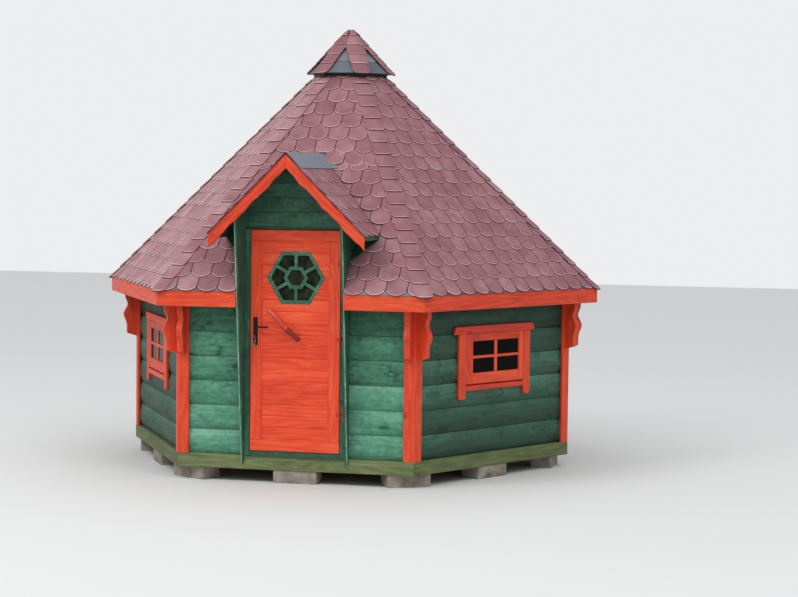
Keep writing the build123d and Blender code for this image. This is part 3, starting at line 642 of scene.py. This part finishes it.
def addTab(pile, spot, outline, bottom, extra, tone, shift):
    def top(x, y):
        return tabs["base"] + tabs["lift"] * (1 - (y - bottom) / tabLength) + (extra(x, y) if extra else 0)

    # the lower rim carries a pale band of painted highlight above a dark rim of painted shadow, and the sides of the
    # slots take the painted shadow throughout
    lower = []
    for (x0, y0), (x1, y1) in zip(outline, outline[1:] + outline[:1]):
        lower.append(x1 - x0 > 0.5 * abs(y1 - y0) and max(y0, y1) < bottom + tabs["arc"] + 0.001)
    layers = [(inset(outline, -tabs["shadowRim"]), lambda x, y: top(x, y) - tabs["thickness"]),
              (outline, lambda x, y: top(x, y) - tabs["highlightDrop"]), (inset(outline, tabs["highlightBand"]), top)]
    addLayers(pile, spot, layers, tone=tone, shift=shift,
              skin=lambda r, i: 3 if r == 0 else (1 if r == 1 and lower[i] else 0))


def addTabRow(pile, spot, bottom, start, end, regions, extra=None, glare=0.0):
    # whole tabs from the start, each cut where it leaves its region
    count = math.ceil(abs(end - start) / tabs["width"])
    turn = 1 if end > start else -1
    for i in range(count):
        middle = start + turn * (i + 0.5) * tabs["width"]
        outline = tabOutline(middle, bottom)
        tone, shift = random.gauss(0.5 + glare, 0.2), someShift()
        for region in regions:
            part = clipTo(outline, region)
            if part:
                addTab(pile, spot, part, bottom, extra if i == 0 else None, tone, shift)


def addShingles(pile, spot, rows, halfWidth, regions, phase=0.0, glare=0.0):
    for row in range(rows):
        start = -halfWidth + tabs["width"] * (phase - 0.5 * (row % 2))
        addTabRow(pile, spot, row * tabs["exposure"] - tabs["overhang"], start, halfWidth, regions, None, glare)


def frontRow(row):
    # how high a row of the front lies, and where its first tab starts
    over = row > frontRows["squeezed"]
    bottom = row * frontRows["exposure"] - tabs["overhang"] - (frontRows["squeeze"] if over else 0)
    shift = frontRows["shift"] + (row + over) % 2 / 2
    if row == frontRows["squeezed"]:
        shift = frontRows["squeezedShift"]
    return bottom, tabs["width"] * (shift - frontRows["halfRow"])


def standing(y, bottom):
    # how far the tabs next to the dormer stand off the roof, most at their lower ends
    return lap["stand"] * (1 - (y - bottom) / tabLength)


def addValleyRow(pile, spot, bottom, turn, region):
    # beside the dormer each row starts with a whole tab whose lower end stands a little proud over the valley
    start = turn * (valleyFoot - sinPitch * bottom - lap["over"])
    beside = region + [(-turn, -sinPitch, -valleyFoot)]
    addTabRow(pile, spot, bottom, start - turn * tabs["width"], start, [beside])
    addTabRow(pile, spot, bottom, start, start + turn * tabs["width"], [region],
              lambda x, y: standing(y, bottom) * (1 - lap["fade"] * abs(x - start) / tabs["width"]))
    addTabRow(pile, spot, bottom, start + turn * tabs["width"], turn * halfEave, [region])


def addSheet(pile, spot, look, outline, region):
    # a flat sheet, cut to a region
    sheet = clipTo(outline, region)
    if sheet:
        addLayers(pile, spot, [(sheet, look["back"]), (sheet, look["front"])], tone=look.get("tone"),
                  skin=look.get("skin", 0))


def addCap(pile, hip, start, length, corner):
    # one tab bent round over a hip, whose wings are its two slopes: (way down the slope, normal)
    half = min(caps["half"], hipSlope * (hip["apexAt"] - start) - caps["margin"])
    if half < caps["narrowest"]:
        return
    (leftWay, leftNormal), (rightWay, rightNormal) = hip["wings"]
    tone, shift = random.gauss(0.5 + hip["glare"], 0.2), someShift()
    lift, droop = caps["lift"] * hip["stiff"], caps["droop"] * hip["stiff"]
    bend = caps["bend"]
    rings, grains = [], []
    for column in range(caps["columns"] + 1):
        w = half * (2 * column / caps["columns"] - 1)
        # the lower edge hangs at the fold and is rounded at both corners
        bow = max(0, abs(w) - caps["half"] + corner)
        low = droop * ((abs(w) / caps["half"]) ** caps["fall"] - 1) + corner - math.sqrt(corner ** 2 - bow ** 2)
        high = min(length, hip["apexAt"] - start - abs(w) / hipSlope)
        if abs(w) < bend:
            t = (w / bend + 1) / 2
            way = leftWay * bend * (1 - t) ** 2 + rightWay * bend * t ** 2
            normal = leftNormal.lerp(rightNormal, t).normalized()
        else:
            way, normal = (leftWay * -w, leftNormal) if w < 0 else (rightWay * w, rightNormal)
        ring = []
        # below the lower edge a rim of painted shadow, above it a band of painted highlight
        for s, drop in ((low - caps["shadowRim"], caps["thickness"]), (low, tabs["highlightDrop"]), (low + tabs["highlightBand"], 0),
                        (high, 0), (high, caps["thickness"])):
            height = caps["base"] + lift * (1 - s / length) - drop + hip["rise"] * (start + s) / hip["apexAt"]
            ring.append(hip["origin"] + hip["axis"] * (start + s) + way + normal * height)
        rings.append(ring)
        grains.append([shift + Vector((w, s, 0)) for s in (low, low, low, high, high)])
    pile.add(rings, grains, tone, lambda r, i: (3, 1, 0, 0, 3)[i] if 0 <= r < caps["columns"] else 3)


def addHip(pile, angle, reach, height, length, start, exposure, rise=0.0, stiff=1.0, glare=0.0):
    # caps up the hip between the side at this angle and the next one round; they may rise off it towards the top
    origin = outward(angle + 30) * reach / cos30 + Vector((0, 0, height))
    axis = (Vector((0, 0, height + reach * roofRise)) - origin).normalized()
    wings = []
    for side in (angle, angle + 60):
        normal = roofSpot(side, reach, height).col[2].xyz
        across = axis.cross(normal)
        if across.dot(wallSpot(side, 1).col[2].xyz) < 0:
            across = -across
        wings.append((across, normal))
    hip = {"origin": origin, "axis": axis, "wings": wings, "rise": rise, "stiff": stiff, "glare": glare,
           "apexAt": reach / cosPitch * hipStretch}
    s = start
    while s < length:
        piece = min(exposure + caps["overlap"], length - s)
        if piece > caps["shortest"]:
            addCap(pile, hip, s, piece, caps["firstCorner" if s == start else "corner"])
        s += exposure


def addFrontRows(pile, spot, short, cuts):
    for row in range(math.ceil((roofTop + frontRows["squeeze"]) / frontRows["exposure"])):
        bottom, start = frontRow(row)
        if not eaveLine - lap["belowEave"] < bottom < ridgeLine:
            addTabRow(pile, spot, bottom, start, frontRows["halfRow"] * tabs["width"], [short + cut for cut in cuts])
            continue
        for turn in (-1, 1):
            if row < frontRows["squeezed"]:
                addValleyRow(pile, spot, bottom, turn, short)
            elif row == frontRows["squeezed"]:
                valley = short + [(-turn, -sinPitch, -valleyFoot)]
                addTabRow(pile, spot, bottom, turn * lap["under"], turn * halfEave, [valley])
            else:
                # whole tabs over the end of the felt strip
                addTabRow(pile, spot, bottom, turn * lap["first"], turn * halfEave, [short],
                          lambda x, y: standing(y, bottom))


def buildRoof():
    hips = betweenHips(halfEave) + [(0, 1, roofTop)]
    # tabs stop under the hip caps
    hipEnd = halfEave - tabs["hipGap"] * hipStretch
    short = betweenHips(hipEnd) + [(0, 1, roofTop)]
    besideRoof, besideCheek, sheltered = [], [], []
    steep = bareCorner["steep"]
    bareLimit = bareCorner["foot"] - steep * cheekOuter
    for turn in (-1, 1):
        besideRoof.append([(0, 1, ridgeLine), (0, -1, -eaveLine), (-turn, -sinPitch, -valleyFoot)])
        besideCheek.append([(0, 1, eaveLine), (-turn, 0, -cheekOuter), (-turn * steep, 1, bareLimit)])
        sheltered.append([(turn, 0, dormerHalf), (-turn, 0, -cheekOuter),
                          (turn * steep, -1, bareCorner["underTabs"] - bareLimit)])
    for name, angle in sides.items():
        spot = roofSpot(angle, eaveReach, eaveHeight)
        pile = Pile(f"shingles_{name}")
        cuts = [[(0, -1, -ridgeLine)]] + besideRoof + besideCheek if name == "front" else [[]]
        for cut in cuts:
            addSheet(pile, spot, shadowUnderlay, box2(-farOff, farOff, -shadowUnderlay["over"], farOff), hips + cut)
        for cut in cuts:
            addSheet(pile, spot, starterStrip, box2(-farOff, farOff, -starterStrip["over"], starterStrip["top"]),
                     hips + cut)
        if name == "front":
            addFrontRows(pile, spot, short, cuts)
        else:
            addShingles(pile, spot, math.ceil(roofTop / tabs["exposure"]), halfEave, [short], tabs["phases"][name],
                        paintedGlare["tabs"] if name == "left_front" else 0.0)
        pile.build([shingle, shingleHighlight, darkFelt, shingleShadow], "roof")
    pile = Pile("sheltered_boards")
    for lines in sheltered:
        addSheet(pile, roofSpot(sides["front"], eaveReach, eaveHeight), bareCorner,
                 box2(-farOff, farOff, 0, eaveLine + bareCorner["overEave"]), lines)
    pile.build([deepGreen], "cheek")
    pile = Pile("hip_caps")
    for name, angle in sides.items():
        addHip(pile, angle, eaveReach, eaveHeight, roofTop * hipStretch, caps["start"], caps["exposure"],
               glare=paintedGlare["caps"] if name in ("left_front", "left_rear") else 0.0)
    pile.build(shingleSkins, "roof", smooth=30)


buildRoof()


# Dormer: shingled slopes and a folded felt strip over the ridge

dormerRows = {"half": 1.2, "overhang": 0.008, "valleyGap": 0.045}
ridgeFelt = {"half": 0.158, "overhang": 0.004, "back": 0.008, "front": 0.011}
flap = {"inner": 0.03, "outer": 0.045, "up": 0.004, "under": 0.004, "back": 0.004, "front": 0.007, "rise": 0.08}


def buildDormerRoof():
    slope, half = dormerHalf / cos45, ridgeFelt["half"]
    for side, turn in halves:
        spot = spotOf((0, 1, 0), (-turn * cos45, 0, cos45), (turn * cos45, 0, cos45),
                      (turn * dormerHalf, dormerFront, dormerEave))
        meet = -dormerFront - (apexHeight - dormerEave) / roofRise
        region = [(1, -cos45 / roofRise, meet), (-1, 0, dormerRows["overhang"]), (0, 1, slope)]
        pile = Pile(f"shingles_dormer_{side}")
        addSheet(pile, spot, shadowUnderlay, box2(-shadowUnderlay["over"], farOff, -shadowUnderlay["over"], slope), region)
        # the tabs stop short of the valley, so that the main roof's tabs lap over them
        short = [(1, -cos45 / roofRise, meet - dormerRows["valleyGap"])] + region[1:]
        addShingles(pile, spot, round((slope - half) / tabs["exposure"]), dormerRows["half"], [short])
        pile.build(shingleSkins, "roof")
    pile = Pile("ridge_felt")
    back = -(apexHeight - ridgeHeight) / roofRise
    origin = Vector((0, dormerFront - ridgeFelt["overhang"], ridgeHeight))
    wings = [(Vector((turn * cos45, 0, -cos45)), Vector((turn * cos45, 0, cos45))) for turn in (-1, 1)]
    crest = Vector((0, 0, 1)) / cos45
    length = back - origin.y
    for across, normal in wings:
        outline = [(0, 0), (half, 0), (half, length - half * cos45 / roofRise), (0, length)]
        rings = [[origin + Vector((0, s, 0)) + across * w + (normal if w else crest) * height for w, s in outline]
                 for height in (ridgeFelt["back"], ridgeFelt["front"])]
        pile.add(rings, [[Vector((w, s, 0)) for w, s in outline]] * 2, 0.5, lambda r, i: 1 if r == 0 else 0)
    # the strip runs on over the main roof for a hand's width, under the next row of tabs
    front = roofSpot(sides["front"], eaveReach, eaveHeight)
    side, top = half * cos45, ridgeLine
    low = top - side / sinPitch
    for turn in (-1, 1):
        outline = [(0, top - flap["under"]), (turn * side, low - flap["under"]),
                   (turn * (side + flap["outer"]), low + flap["up"]), (turn * flap["inner"], top), (0, top)]
        layers = [(outline, lambda x, y, h=flap[face]: h + flap["rise"] * (top - y)) for face in ("back", "front")]
        addLayers(pile, front, layers, tone=0.5, skin=lambda r, i: 1 if r == 0 else 0)
    # the felt's underside takes the painted shadow colour
    pile.build([felt, shingleShadow], "felt", nodes=["dormer_ridge_strip"])


buildDormerRoof()


# Vent hat: felt in two courses, red caps on its hips

hat = {"course": 0.125, "lap": 0.02, "overhang": 0.006, "back": 0.0025, "front": 0.001,
       "lower": (0.003, 0.45), "upper": (0.007, 0.9),   # each course's lift and tone
       "start": 0.002, "leftStart": 0.022, "exposure": 0.113, "rise": 0.028, "stiff": 0.8}   # its caps


def buildHat():
    reach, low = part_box("vent_hat")[1].y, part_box("vent_hat")[0].z
    slope, course = reach / cosPitch, hat["course"]
    pile = Pile("hat_felt")
    lines = betweenHips(reach * tanCorner)
    for angle in sides.values():
        spot = roofSpot(angle, reach, low)
        for bottom, top, (lift, tone) in ((-hat["overhang"], course + hat["lap"], hat["lower"]),
                                          (course, slope, hat["upper"])):
            sheet = clipTo(box2(-farOff, farOff, bottom, top), lines)
            addLayers(pile, spot, [(sheet, lift - hat["back"]), (sheet, lift + hat["front"])], tone=tone)
    pile.build([darkFelt], "felt")
    pile = Pile("hat_caps")
    for name, angle in sides.items():
        addHip(pile, angle, reach, low, slope * hipStretch, hat["leftStart" if name == "left_rear" else "start"],
               hat["exposure"], hat["rise"], hat["stiff"])
    pile.build(shingleSkins, "roof", smooth=30)


buildHat()
print("roof shingled")


# Door: tongued boards cut round the window; the frame's rails run full width and a bead runs round inside it

doorBoards = {"pitch": 0.09, "groove": 0.006, "depth": 0.005, "play": 0.0003}
doorFrame = {"width": 0.082, "edge": 0.0025, "joint": 0.0015, "gap": 0.0004, "bead": 0.012, "beadFront": -0.004}


def buildDoorBoards():
    low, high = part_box("door_leaf")
    spot = wallSpot(sides["front"], -low.y)
    glassLow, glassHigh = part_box("door_window_glass")
    centre = (glassLow.z + glassHigh.z) / 2
    radius = (glassHigh.x - glassLow.x) / 2 + doorBoards["play"]
    flat = radius * cos30
    root3 = math.sqrt(3)
    regions = [[(0, -1, -(centre + flat))], [(0, 1, centre - flat)]]
    for turn in (-1, 1):
        for level in (-1, 1):
            # beside the window, above or below its middle
            regions.append([(0, -level, -level * centre), (0, level, level * centre + flat),
                            (-turn * root3, -level, -root3 * radius - level * centre)])
    pile = Pile("door_boards")
    count = round((high.z - low.z) / doorBoards["pitch"])
    step = (high.z - low.z) / count
    for row in range(count):
        bottom = low.z + row * step
        top = bottom + step
        tone, shift = someTone(), someShift()
        for region in regions:
            outline = clipTo(box2(low.x, high.x, bottom, top), region)
            if outline:
                narrow = [(x, min(max(y, bottom + doorBoards["groove"]), top - doorBoards["groove"]))
                          for x, y in outline]
                addLayers(pile, spot, [(outline, low.y - high.y), (outline, -doorBoards["depth"]), (narrow, 0)],
                          tone=tone, shift=shift)
    pile.build([doorRed], "door", "door", nodes=["door_leaf"])


def buildDoorFrame():
    low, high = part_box("door_leaf")
    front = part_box("door_frame")[0].y
    spot = wallSpot(sides["front"], -front)
    back = front - low.y
    width, joint, gap, bead = (doorFrame[key] for key in ("width", "joint", "gap", "bead"))
    inLow, inHigh = low.z + width, high.z - width
    pile = Pile("door_frame_boards")
    for turn in (-1, 1):
        x0, x1 = sorted((turn * high.x, turn * (high.x - width)))
        addBoard(pile, spot, box2(x0, x1, inLow + joint, inHigh - joint), back, 0, doorFrame["edge"], upright=True)
        z0, z1 = (inHigh, high.z) if turn > 0 else (low.z, inLow)
        addBoard(pile, spot, box2(low.x, high.x, z0, z1), back, 0, doorFrame["edge"])
    for turn in (-1, 1):
        x0, x1 = turn * (high.x - width - gap), turn * (high.x - width - bead)
        addBoard(pile, spot, [(x0, inLow), (x0, inHigh), (x1, inHigh - bead), (x1, inLow + bead)], back,
                 doorFrame["beadFront"], upright=True)
        z0 = (high.z if turn > 0 else low.z) - turn * (width + gap)
        addBoard(pile, spot, [(low.x + width, z0), (high.x - width, z0), (high.x - width - bead, z0 - turn * bead),
                              (low.x + width + bead, z0 - turn * bead)], back, doorFrame["beadFront"])
    pile.build([doorRed], "door", "door", nodes=["door_frame"])


buildDoorBoards()
buildDoorFrame()


# the outer edges beside the door carry a pale strip of painted highlight; they lean out towards the top
edgeHighlights = {"foot": 0.15, "reach": wallReach + 0.034, "lean": 7, "proud": 0.0008, "width": 0.008, "back": -0.01,
             "front": 0.001, "edge": 0.0008}


def buildEdgeHighlights():
    sinLean, cosLean = math.sin(math.radians(edgeHighlights["lean"])), math.cos(math.radians(edgeHighlights["lean"]))
    spot = spotOf((1, 0, 0), (0, -sinLean, cosLean), (0, -cosLean, -sinLean),
                  (0, -edgeHighlights["reach"], edgeHighlights["foot"]))
    pile = Pile("cheek_edge_highlights")
    for half, turn in halves:
        low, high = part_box(f"dormer_cheek_{half}")
        length = (-low.y - edgeHighlights["reach"]) / sinLean
        edge = high.x if turn > 0 else low.x
        x0, x1 = sorted((edge + turn * edgeHighlights["proud"], edge - turn * edgeHighlights["width"]))
        addBoard(pile, spot, box2(x0, x1, 0, length), edgeHighlights["back"], edgeHighlights["front"], edgeHighlights["edge"],
                 upright=True)
    pile.build([highlightGreen], "cheek")


buildEdgeHighlights()


# Pull handle and keys: a whittled branch on two pegs, a key in the lock with two more on its ring

def addRod(pile, points, radii, skin=0, sides=10):
    # round sections along a line of points
    shift, tone = someShift(), someTone()
    rings, grains = [], []
    for i, (point, radius) in enumerate(zip(points, radii)):
        ahead = points[min(i + 1, len(points) - 1)] - points[max(i - 1, 0)]
        turn = ahead.to_track_quat("X", "Z")
        ring = [Vector((0, radius * math.cos(a), radius * math.sin(a))) for a in
                (2 * math.pi * k / sides for k in range(sides))]
        rings.append([point + turn @ corner for corner in ring])
        grains.append([shift + corner + Vector(((point - points[0]).length, 0, 0)) for corner in ring])
    pile.add(rings, grains, tone, skin)


pull = {"depth": 0.017, "end": 0.0078, "bend": 0.006, "waves": 9, "sideways": (0.7, 0, 0.72), "darkFrom": 5,
        "pegs": (0.172, 0.828), "pegRadius": 0.011,
        # where along the branch it is how thick
        "knobs": ((0, 0.008), (0.02, 0.014), (0.2, 0.018), (0.4, 0.022), (0.5, 0.017), (0.62, 0.022), (0.7, 0.023),
                  (0.8, 0.015), (0.88, 0.014), (0.92, 0.021), (0.97, 0.021), (1, 0.012))}


def buildPull():
    low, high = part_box("door_pull")
    depth, end = low.y + pull["depth"], pull["end"]
    top, bottom = Vector((low.x + end, depth, high.z - end)), Vector((high.x - end, depth, low.z + end))
    points = [top.lerp(bottom, along) + Vector(pull["sideways"]) * (pull["bend"] * math.sin(pull["waves"] * along))
              for along, _ in pull["knobs"]]
    pile = Pile("pull_branch")
    # darker towards the lower end, and a strip along the underside is painted shade
    addRod(pile, points, [radius for _, radius in pull["knobs"]],
           lambda r, i: 1 if r >= pull["darkFrom"] or i in (6, 7, 8) else 0)
    for along in pull["pegs"]:
        peg = top.lerp(bottom, along)
        addRod(pile, [peg, Vector((peg.x, high.y, peg.z))], [pull["pegRadius"]] * 2, 1)
    pile.build([branchRed, branchBrown], "door", "door", nodes=["door_pull"], smooth=40)


keys = {"holeDown": 0.149, "shaft": 0.003, "in": 0.004, "out": 0.012, "headOut": 0.02, "headHalf": 0.002,
        "head": 0.011, "ringAcross": -0.004, "ringDown": 0.02, "ring": 0.014, "ringSteps": 16, "wire": 0.0012,
        "flat": 0.0012, "neck": 0.01, "blade": (0.0032, 0.0026),
        "spare": ((-0.25, 0.052), (0.12, 0.046))}   # each one's lean and length


def buildKeys():
    low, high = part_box("lock_plates")
    hole = Vector(((low.x + high.x) / 2, low.y, high.z - keys["holeDown"]))
    pile = Pile("door_keys")
    # the key in the lock stands on edge, the ring hangs from its head
    addRod(pile, [hole + Vector((0, y, 0)) for y in (keys["in"], -keys["out"])], [keys["shaft"]] * 2, sides=6)
    addRod(pile, [hole + Vector((x, -keys["headOut"], 0)) for x in (-keys["headHalf"], keys["headHalf"])],
           [keys["head"]] * 2)
    centre = hole + Vector((keys["ringAcross"], -keys["headOut"], -keys["ringDown"]))
    points = [centre + keys["ring"] * Vector((math.cos(a), 0, math.sin(a)))
              for a in (2 * math.pi * k / keys["ringSteps"] for k in range(keys["ringSteps"] + 1))]
    addRod(pile, points, [keys["wire"]] * len(points), sides=6)
    for lean, length in keys["spare"]:
        # a spare key: round head and a flat blade
        down = Vector((math.sin(lean), 0, -math.cos(lean)))
        head = centre - Vector((0, 0, keys["ring"])) + down * keys["neck"]
        flat = Vector((0, keys["flat"], 0))
        addRod(pile, [head - flat, head + flat], [keys["head"]] * 2)
        addRod(pile, [head + down * keys["neck"], head + down * length], keys["blade"], sides=4)
    pile.build([keySteel], "iron", "door")


buildPull()
buildKeys()


# Gable over the door: horizontal boards

gable = {"pitch": 0.115, "groove": 0.005}


def buildGable():
    low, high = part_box("gable_boards")
    spot = wallSpot(sides["front"], -low.y)
    groove = gable["groove"]
    pile = Pile("gable_planks")
    z = low.z
    while z < high.z:
        top = z + gable["pitch"]
        outline = clipTo(box2(low.x, high.x, z, top), [(1, 1, high.z), (-1, 1, high.z)])
        if outline:
            narrow = [(x, min(max(y, z + groove), top - groove)) for x, y in outline]
            addLayers(pile, spot, [(outline, low.y - high.y), (outline, -groove), (narrow, 0)])
        z = top
    pile.build([deepGreen], "cheek", nodes=["gable_boards"])


buildGable()


# Bargeboards: sawn from the log, so that their lower edge keeps its uneven line

barge = {"width": 0.077, "thickness": 0.022, "edge": 0.003, "steps": 40,
         "waves": ((0.0045, 23.0, 0.4), (0.0025, 51.0, 1.9))}   # each wave's size, rate and phase


def buildBargeboards():
    length = dormerHalf / cos45
    for half, turn in halves:
        spot = spotOf((turn * cos45, 0, -cos45), (turn * cos45, 0, cos45), (0, -1, 0),
                      (0, dormerFront + barge["thickness"], ridgeHeight))
        lower = []
        for i in range(barge["steps"] + 1):
            along = length * i / barge["steps"]
            uneven = sum(size * math.sin(rate * along + phase + turn) for size, rate, phase in barge["waves"])
            # both ends are cut upright, so the lower edge starts and stops further down the slope
            reach = uneven - barge["width"]
            lower.append((along - reach, reach))
        pile = Pile(f"barge_{half}")
        addBoard(pile, spot, [(0, 0)] + lower + [(length, 0)], 0, barge["thickness"], barge["edge"])
        pile.build([red], "trim", nodes=[f"bargeboard_{half}"])


buildBargeboards()


# Windows: sash with glazing bars, cap board and sill rail on four sides

sash = {"stile": 0.075, "topRail": 0.06, "bottomRail": 0.098, "bar": 0.022, "post": 0.034, "setBack": 0.003,
        "front": 0.02, "depth": 0.058, "pane": 0.012, "paneThickness": 0.003, "shift": 0.016, "drip": 0.012,
        "dripBack": 0.012, "edge": 0.004, "barEdge": 0.003, "play": 0.0003, "joint": 0.0002, "barTone": 0.95,
        "thinEdge": 0.001, "paneEdge": 0.0002, "paneTuck": 0.004}
lintel = {"half": 0.492, "shoulder": 0.026, "front": 0.022, "edge": 0.004, "steps": 8}
sillRail = {"play": 0.0006, "front": 0.022, "edge": 0.004}


def lintelOutline(low, high):
    # a quarter round at each end
    turns = [math.pi / 2 * i / lintel["steps"] for i in range(lintel["steps"] + 1)]
    foot = lintel["half"] - lintel["shoulder"]
    right = [(foot + lintel["shoulder"] * math.cos(t), low + (high - low) * math.sin(t)) for t in turns]
    return right + [(-x, y) for x, y in reversed(right)]


def buildWindows():
    sashes, lintels, rails, panes = Pile("sash_boards"), Pile("lintel_boards"), Pile("sill_rails"), Pile("sash_panes")
    half = windowHalf - sash["play"]
    low, high = windowBottom + sash["play"], windowTop - sash["play"]
    drip, innerLow, innerHigh = low + sash["drip"], low + sash["bottomRail"], high - sash["topRail"]
    stileLeft, stileRight = sash["stile"] + sash["shift"] - half, half - sash["stile"] + sash["shift"]
    left, right = stileLeft + sash["joint"], stileRight - sash["joint"]
    centre, middle = (left + right) / 2, (innerLow + innerHigh) / 2
    postLeft, postRight = centre - sash["post"] / 2, centre + sash["post"] / 2
    barLow, barHigh = middle - sash["bar"] / 2, middle + sash["bar"] / 2
    back, edge, tuck = -sash["depth"], sash["edge"], sash["paneTuck"]
    for name in windowSides:
        spot = wallSpot(sides[name], wallReach + sash["front"])
        for x0, x1 in ((-half, stileLeft), (stileRight, half)):
            addBoard(sashes, spot, box2(x0, x1, drip, high), back, 0, edge, upright=True)
        for y0, y1 in ((innerHigh, high), (drip, innerLow)):
            addBoard(sashes, spot, box2(left, right, y0, y1), back, 0, edge)
        # the lower edge is rebated over the sill rail and lies in its own shadow
        addBoard(sashes, spot, box2(-half, half, low, drip - sash["joint"]), back, -sash["front"] - sash["dripBack"],
                 sash["thinEdge"])
        addBoard(sashes, spot, box2(postLeft, postRight, innerLow, innerHigh), -sash["pane"], -sash["setBack"], edge,
                 upright=True, tone=sash["barTone"])
        for x0, x1 in ((left, postLeft), (postRight, right)):
            addBoard(sashes, spot, box2(x0, x1, barLow, barHigh), -sash["pane"], -sash["setBack"], sash["barEdge"],
                     tone=sash["barTone"])
        addBoard(panes, spot, box2(left - tuck, right + tuck, innerLow - tuck, innerHigh + tuck),
                 -sash["pane"] - sash["paneThickness"], -sash["pane"], sash["paneEdge"])
        spot = wallSpot(sides[name], wallReach)
        outline = lintelOutline(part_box("window_lintels")[0].z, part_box("window_lintels")[1].z)
        addBoard(lintels, spot, outline, 0, lintel["front"], lintel["edge"])
        railHalf = windowHalf - sillRail["play"]
        addBoard(rails, spot, box2(-railHalf, railHalf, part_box("window_bottom_rails")[0].z, windowBottom), 0,
                 sillRail["front"], sillRail["edge"])
    sashes.build([red], "trim", nodes=["window_sashes"])
    panes.build([glass], "glass", nodes=["window_glass"])
    lintels.build([red], "trim", nodes=["window_lintels"])
    rails.build([red], "trim", nodes=["window_bottom_rails"])


buildWindows()
print("door, gable and windows made")


# Nodes of the frame that keep their shape get their finish and eased edges

def dress(node, material, edge=0.0025):
    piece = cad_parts[node]
    piece.data.materials.clear()
    piece.data.materials.append(material)
    if edge:
        weld = piece.modifiers.new("weld", "WELD")
        weld.merge_threshold = 0.00005
        ease = piece.modifiers.new("eased edges", "BEVEL")
        ease.width = edge
        ease.segments = 2
        ease.limit_method = "ANGLE"
        ease.angle_limit = math.radians(35)


dress("foundation_blocks", concrete, edge=0.006)
dress("floor_joists", stainedWood("olive joists", oliveLook, (0, 0, -90)))
dress("corner_posts", redUpright)
dress("eave_corbels", redUpright, edge=0.004)
for name, angle in sides.items():
    dress(f"roof_panel_{name}", stainedWood(f"roof boards {name}", bareLook, (0, 0, -angle - 90)), edge=0)
dress("hip_rafters", stainedWood("rafter pine", bareLook, uprightTurn))
dress("vent_collar", stainedWood("collar green, painted shade", collarShadeLook, (0, 0, 0)))
dress("vent_hat", stainedWood("hat boards", bareLook, (0, 0, 0)), edge=0)
for half, turn in halves:
    dress(f"dormer_roof_{half}", stainedWood(f"dormer boards {half}", deepGreenLook, (0, 0, 90)), edge=0)
    dress(f"dormer_cheek_{half}", deepGreenUpright)
    dress(f"door_jamb_{half}", deepGreenUpright)
# the door head takes the deep green so that it reads dark: painted shade in its recess above the door
deepGreenLevel = stainedWood("deep green stain, level", deepGreenLook, (0, 0, 0))
for node in ("door_head", "door_threshold"):
    dress(node, deepGreenLevel)
for node in ("jamb_hinges", "door_hinges"):
    dress(node, paintedIron, edge=0.0005)
dress("door_window_lattice", stainedWood("lattice green", latticeLook, (0, 0, 0)), edge=0.004)
dress("door_window_glass", doorGlass, edge=0)
dress("lock_plates", blackIron, edge=0.0012)
dress("door_lever", blackIron, edge=0.0008)
dress("window_jamb_boards", redUpright, edge=0.004)
print("frame nodes dressed")


# Floor, light and camera: light falls mostly from overhead, as from an even sky, and the backdrop is plain and pale

sky = {"horizon": 0.3, "zenith": 1.25, "colour": (0.94, 0.97, 1.0, 1), "backdrop": (236, 238, 240)}
lamps = {"key": {"place": (-6, -9, 11), "size": 5, "power": 620},
         "fill": {"place": (7, -9, 11), "size": 6, "power": 330}}
lampAim = Vector((0, 0, 1.4))


def buildStage():
    bpy.ops.mesh.primitive_plane_add(size=60, location=(0, 0, 0))
    ground = bpy.context.object
    ground.name = "studio_floor"
    paint = Finish("studio floor", roughness=0.9, specular=0.1)
    ground.data.materials.append(paint.finish(tint(214, 214, 212)))
    scene.world = bpy.data.worlds.new("studio")
    world = NodeTree(scene.world)
    split = world.node("SeparateXYZ", "Z", Vector=world.node("TexCoord", "Generated"))
    strength = world.node("MapRange", "Result", Value=split, **{"To Min": sky["horizon"], "To Max": sky["zenith"]})
    light = world.nodes["Background"]
    world.feed(light.inputs["Color"], sky["colour"])
    world.feed(light.inputs["Strength"], strength)
    seen = world.node("Background", Color=tint(*sky["backdrop"]))
    path = world.node("LightPath", "Is Camera Ray")
    mixer = world.nodes.new("ShaderNodeMixShader")
    either = world.math("MAXIMUM", path, path.node.outputs["Is Glossy Ray"])
    for socket, value in zip(mixer.inputs, (either, light.outputs["Background"], seen)):
        world.feed(socket, value)
    world.feed(world.nodes["World Output"].inputs["Surface"], mixer.outputs["Shader"])
    for name, lamp in lamps.items():
        data = bpy.data.lights.new(name, "AREA")
        data.size = lamp["size"]
        data.energy = lamp["power"]
        holder = bpy.data.objects.new(name, data)
        scene.collection.objects.link(holder)
        holder.location = lamp["place"]
        holder.rotation_euler = (lampAim - holder.location).to_track_quat("-Z", "Y").to_euler()


view = {"place": (4.3238, -17.0606, 2.3972), "yaw": 0.2235, "tilt": -0.0587, "roll": -0.012,
        "lens": 93.18, "sensor": 36.0}


def buildCamera():
    yaw, tilt, roll = view["yaw"], view["tilt"], view["roll"]
    ahead = Vector((math.sin(-yaw) * math.cos(tilt), math.cos(-yaw) * math.cos(tilt), math.sin(tilt)))
    right = Vector((math.cos(-yaw), -math.sin(-yaw), 0))
    down = ahead.cross(right)
    rolledRight = right * math.cos(roll) + down * math.sin(roll)
    rolledDown = down * math.cos(roll) - right * math.sin(roll)
    lens = bpy.data.cameras.new("photo view")
    lens.sensor_width = view["sensor"]
    lens.lens = view["lens"]
    lens.clip_end = 200
    camera = bpy.data.objects.new("photo view", lens)
    scene.collection.objects.link(camera)
    camera.matrix_world = spotOf(rolledRight, -rolledDown, -ahead, view["place"])
    scene.camera = camera


buildStage()
buildCamera()
print("stage set")
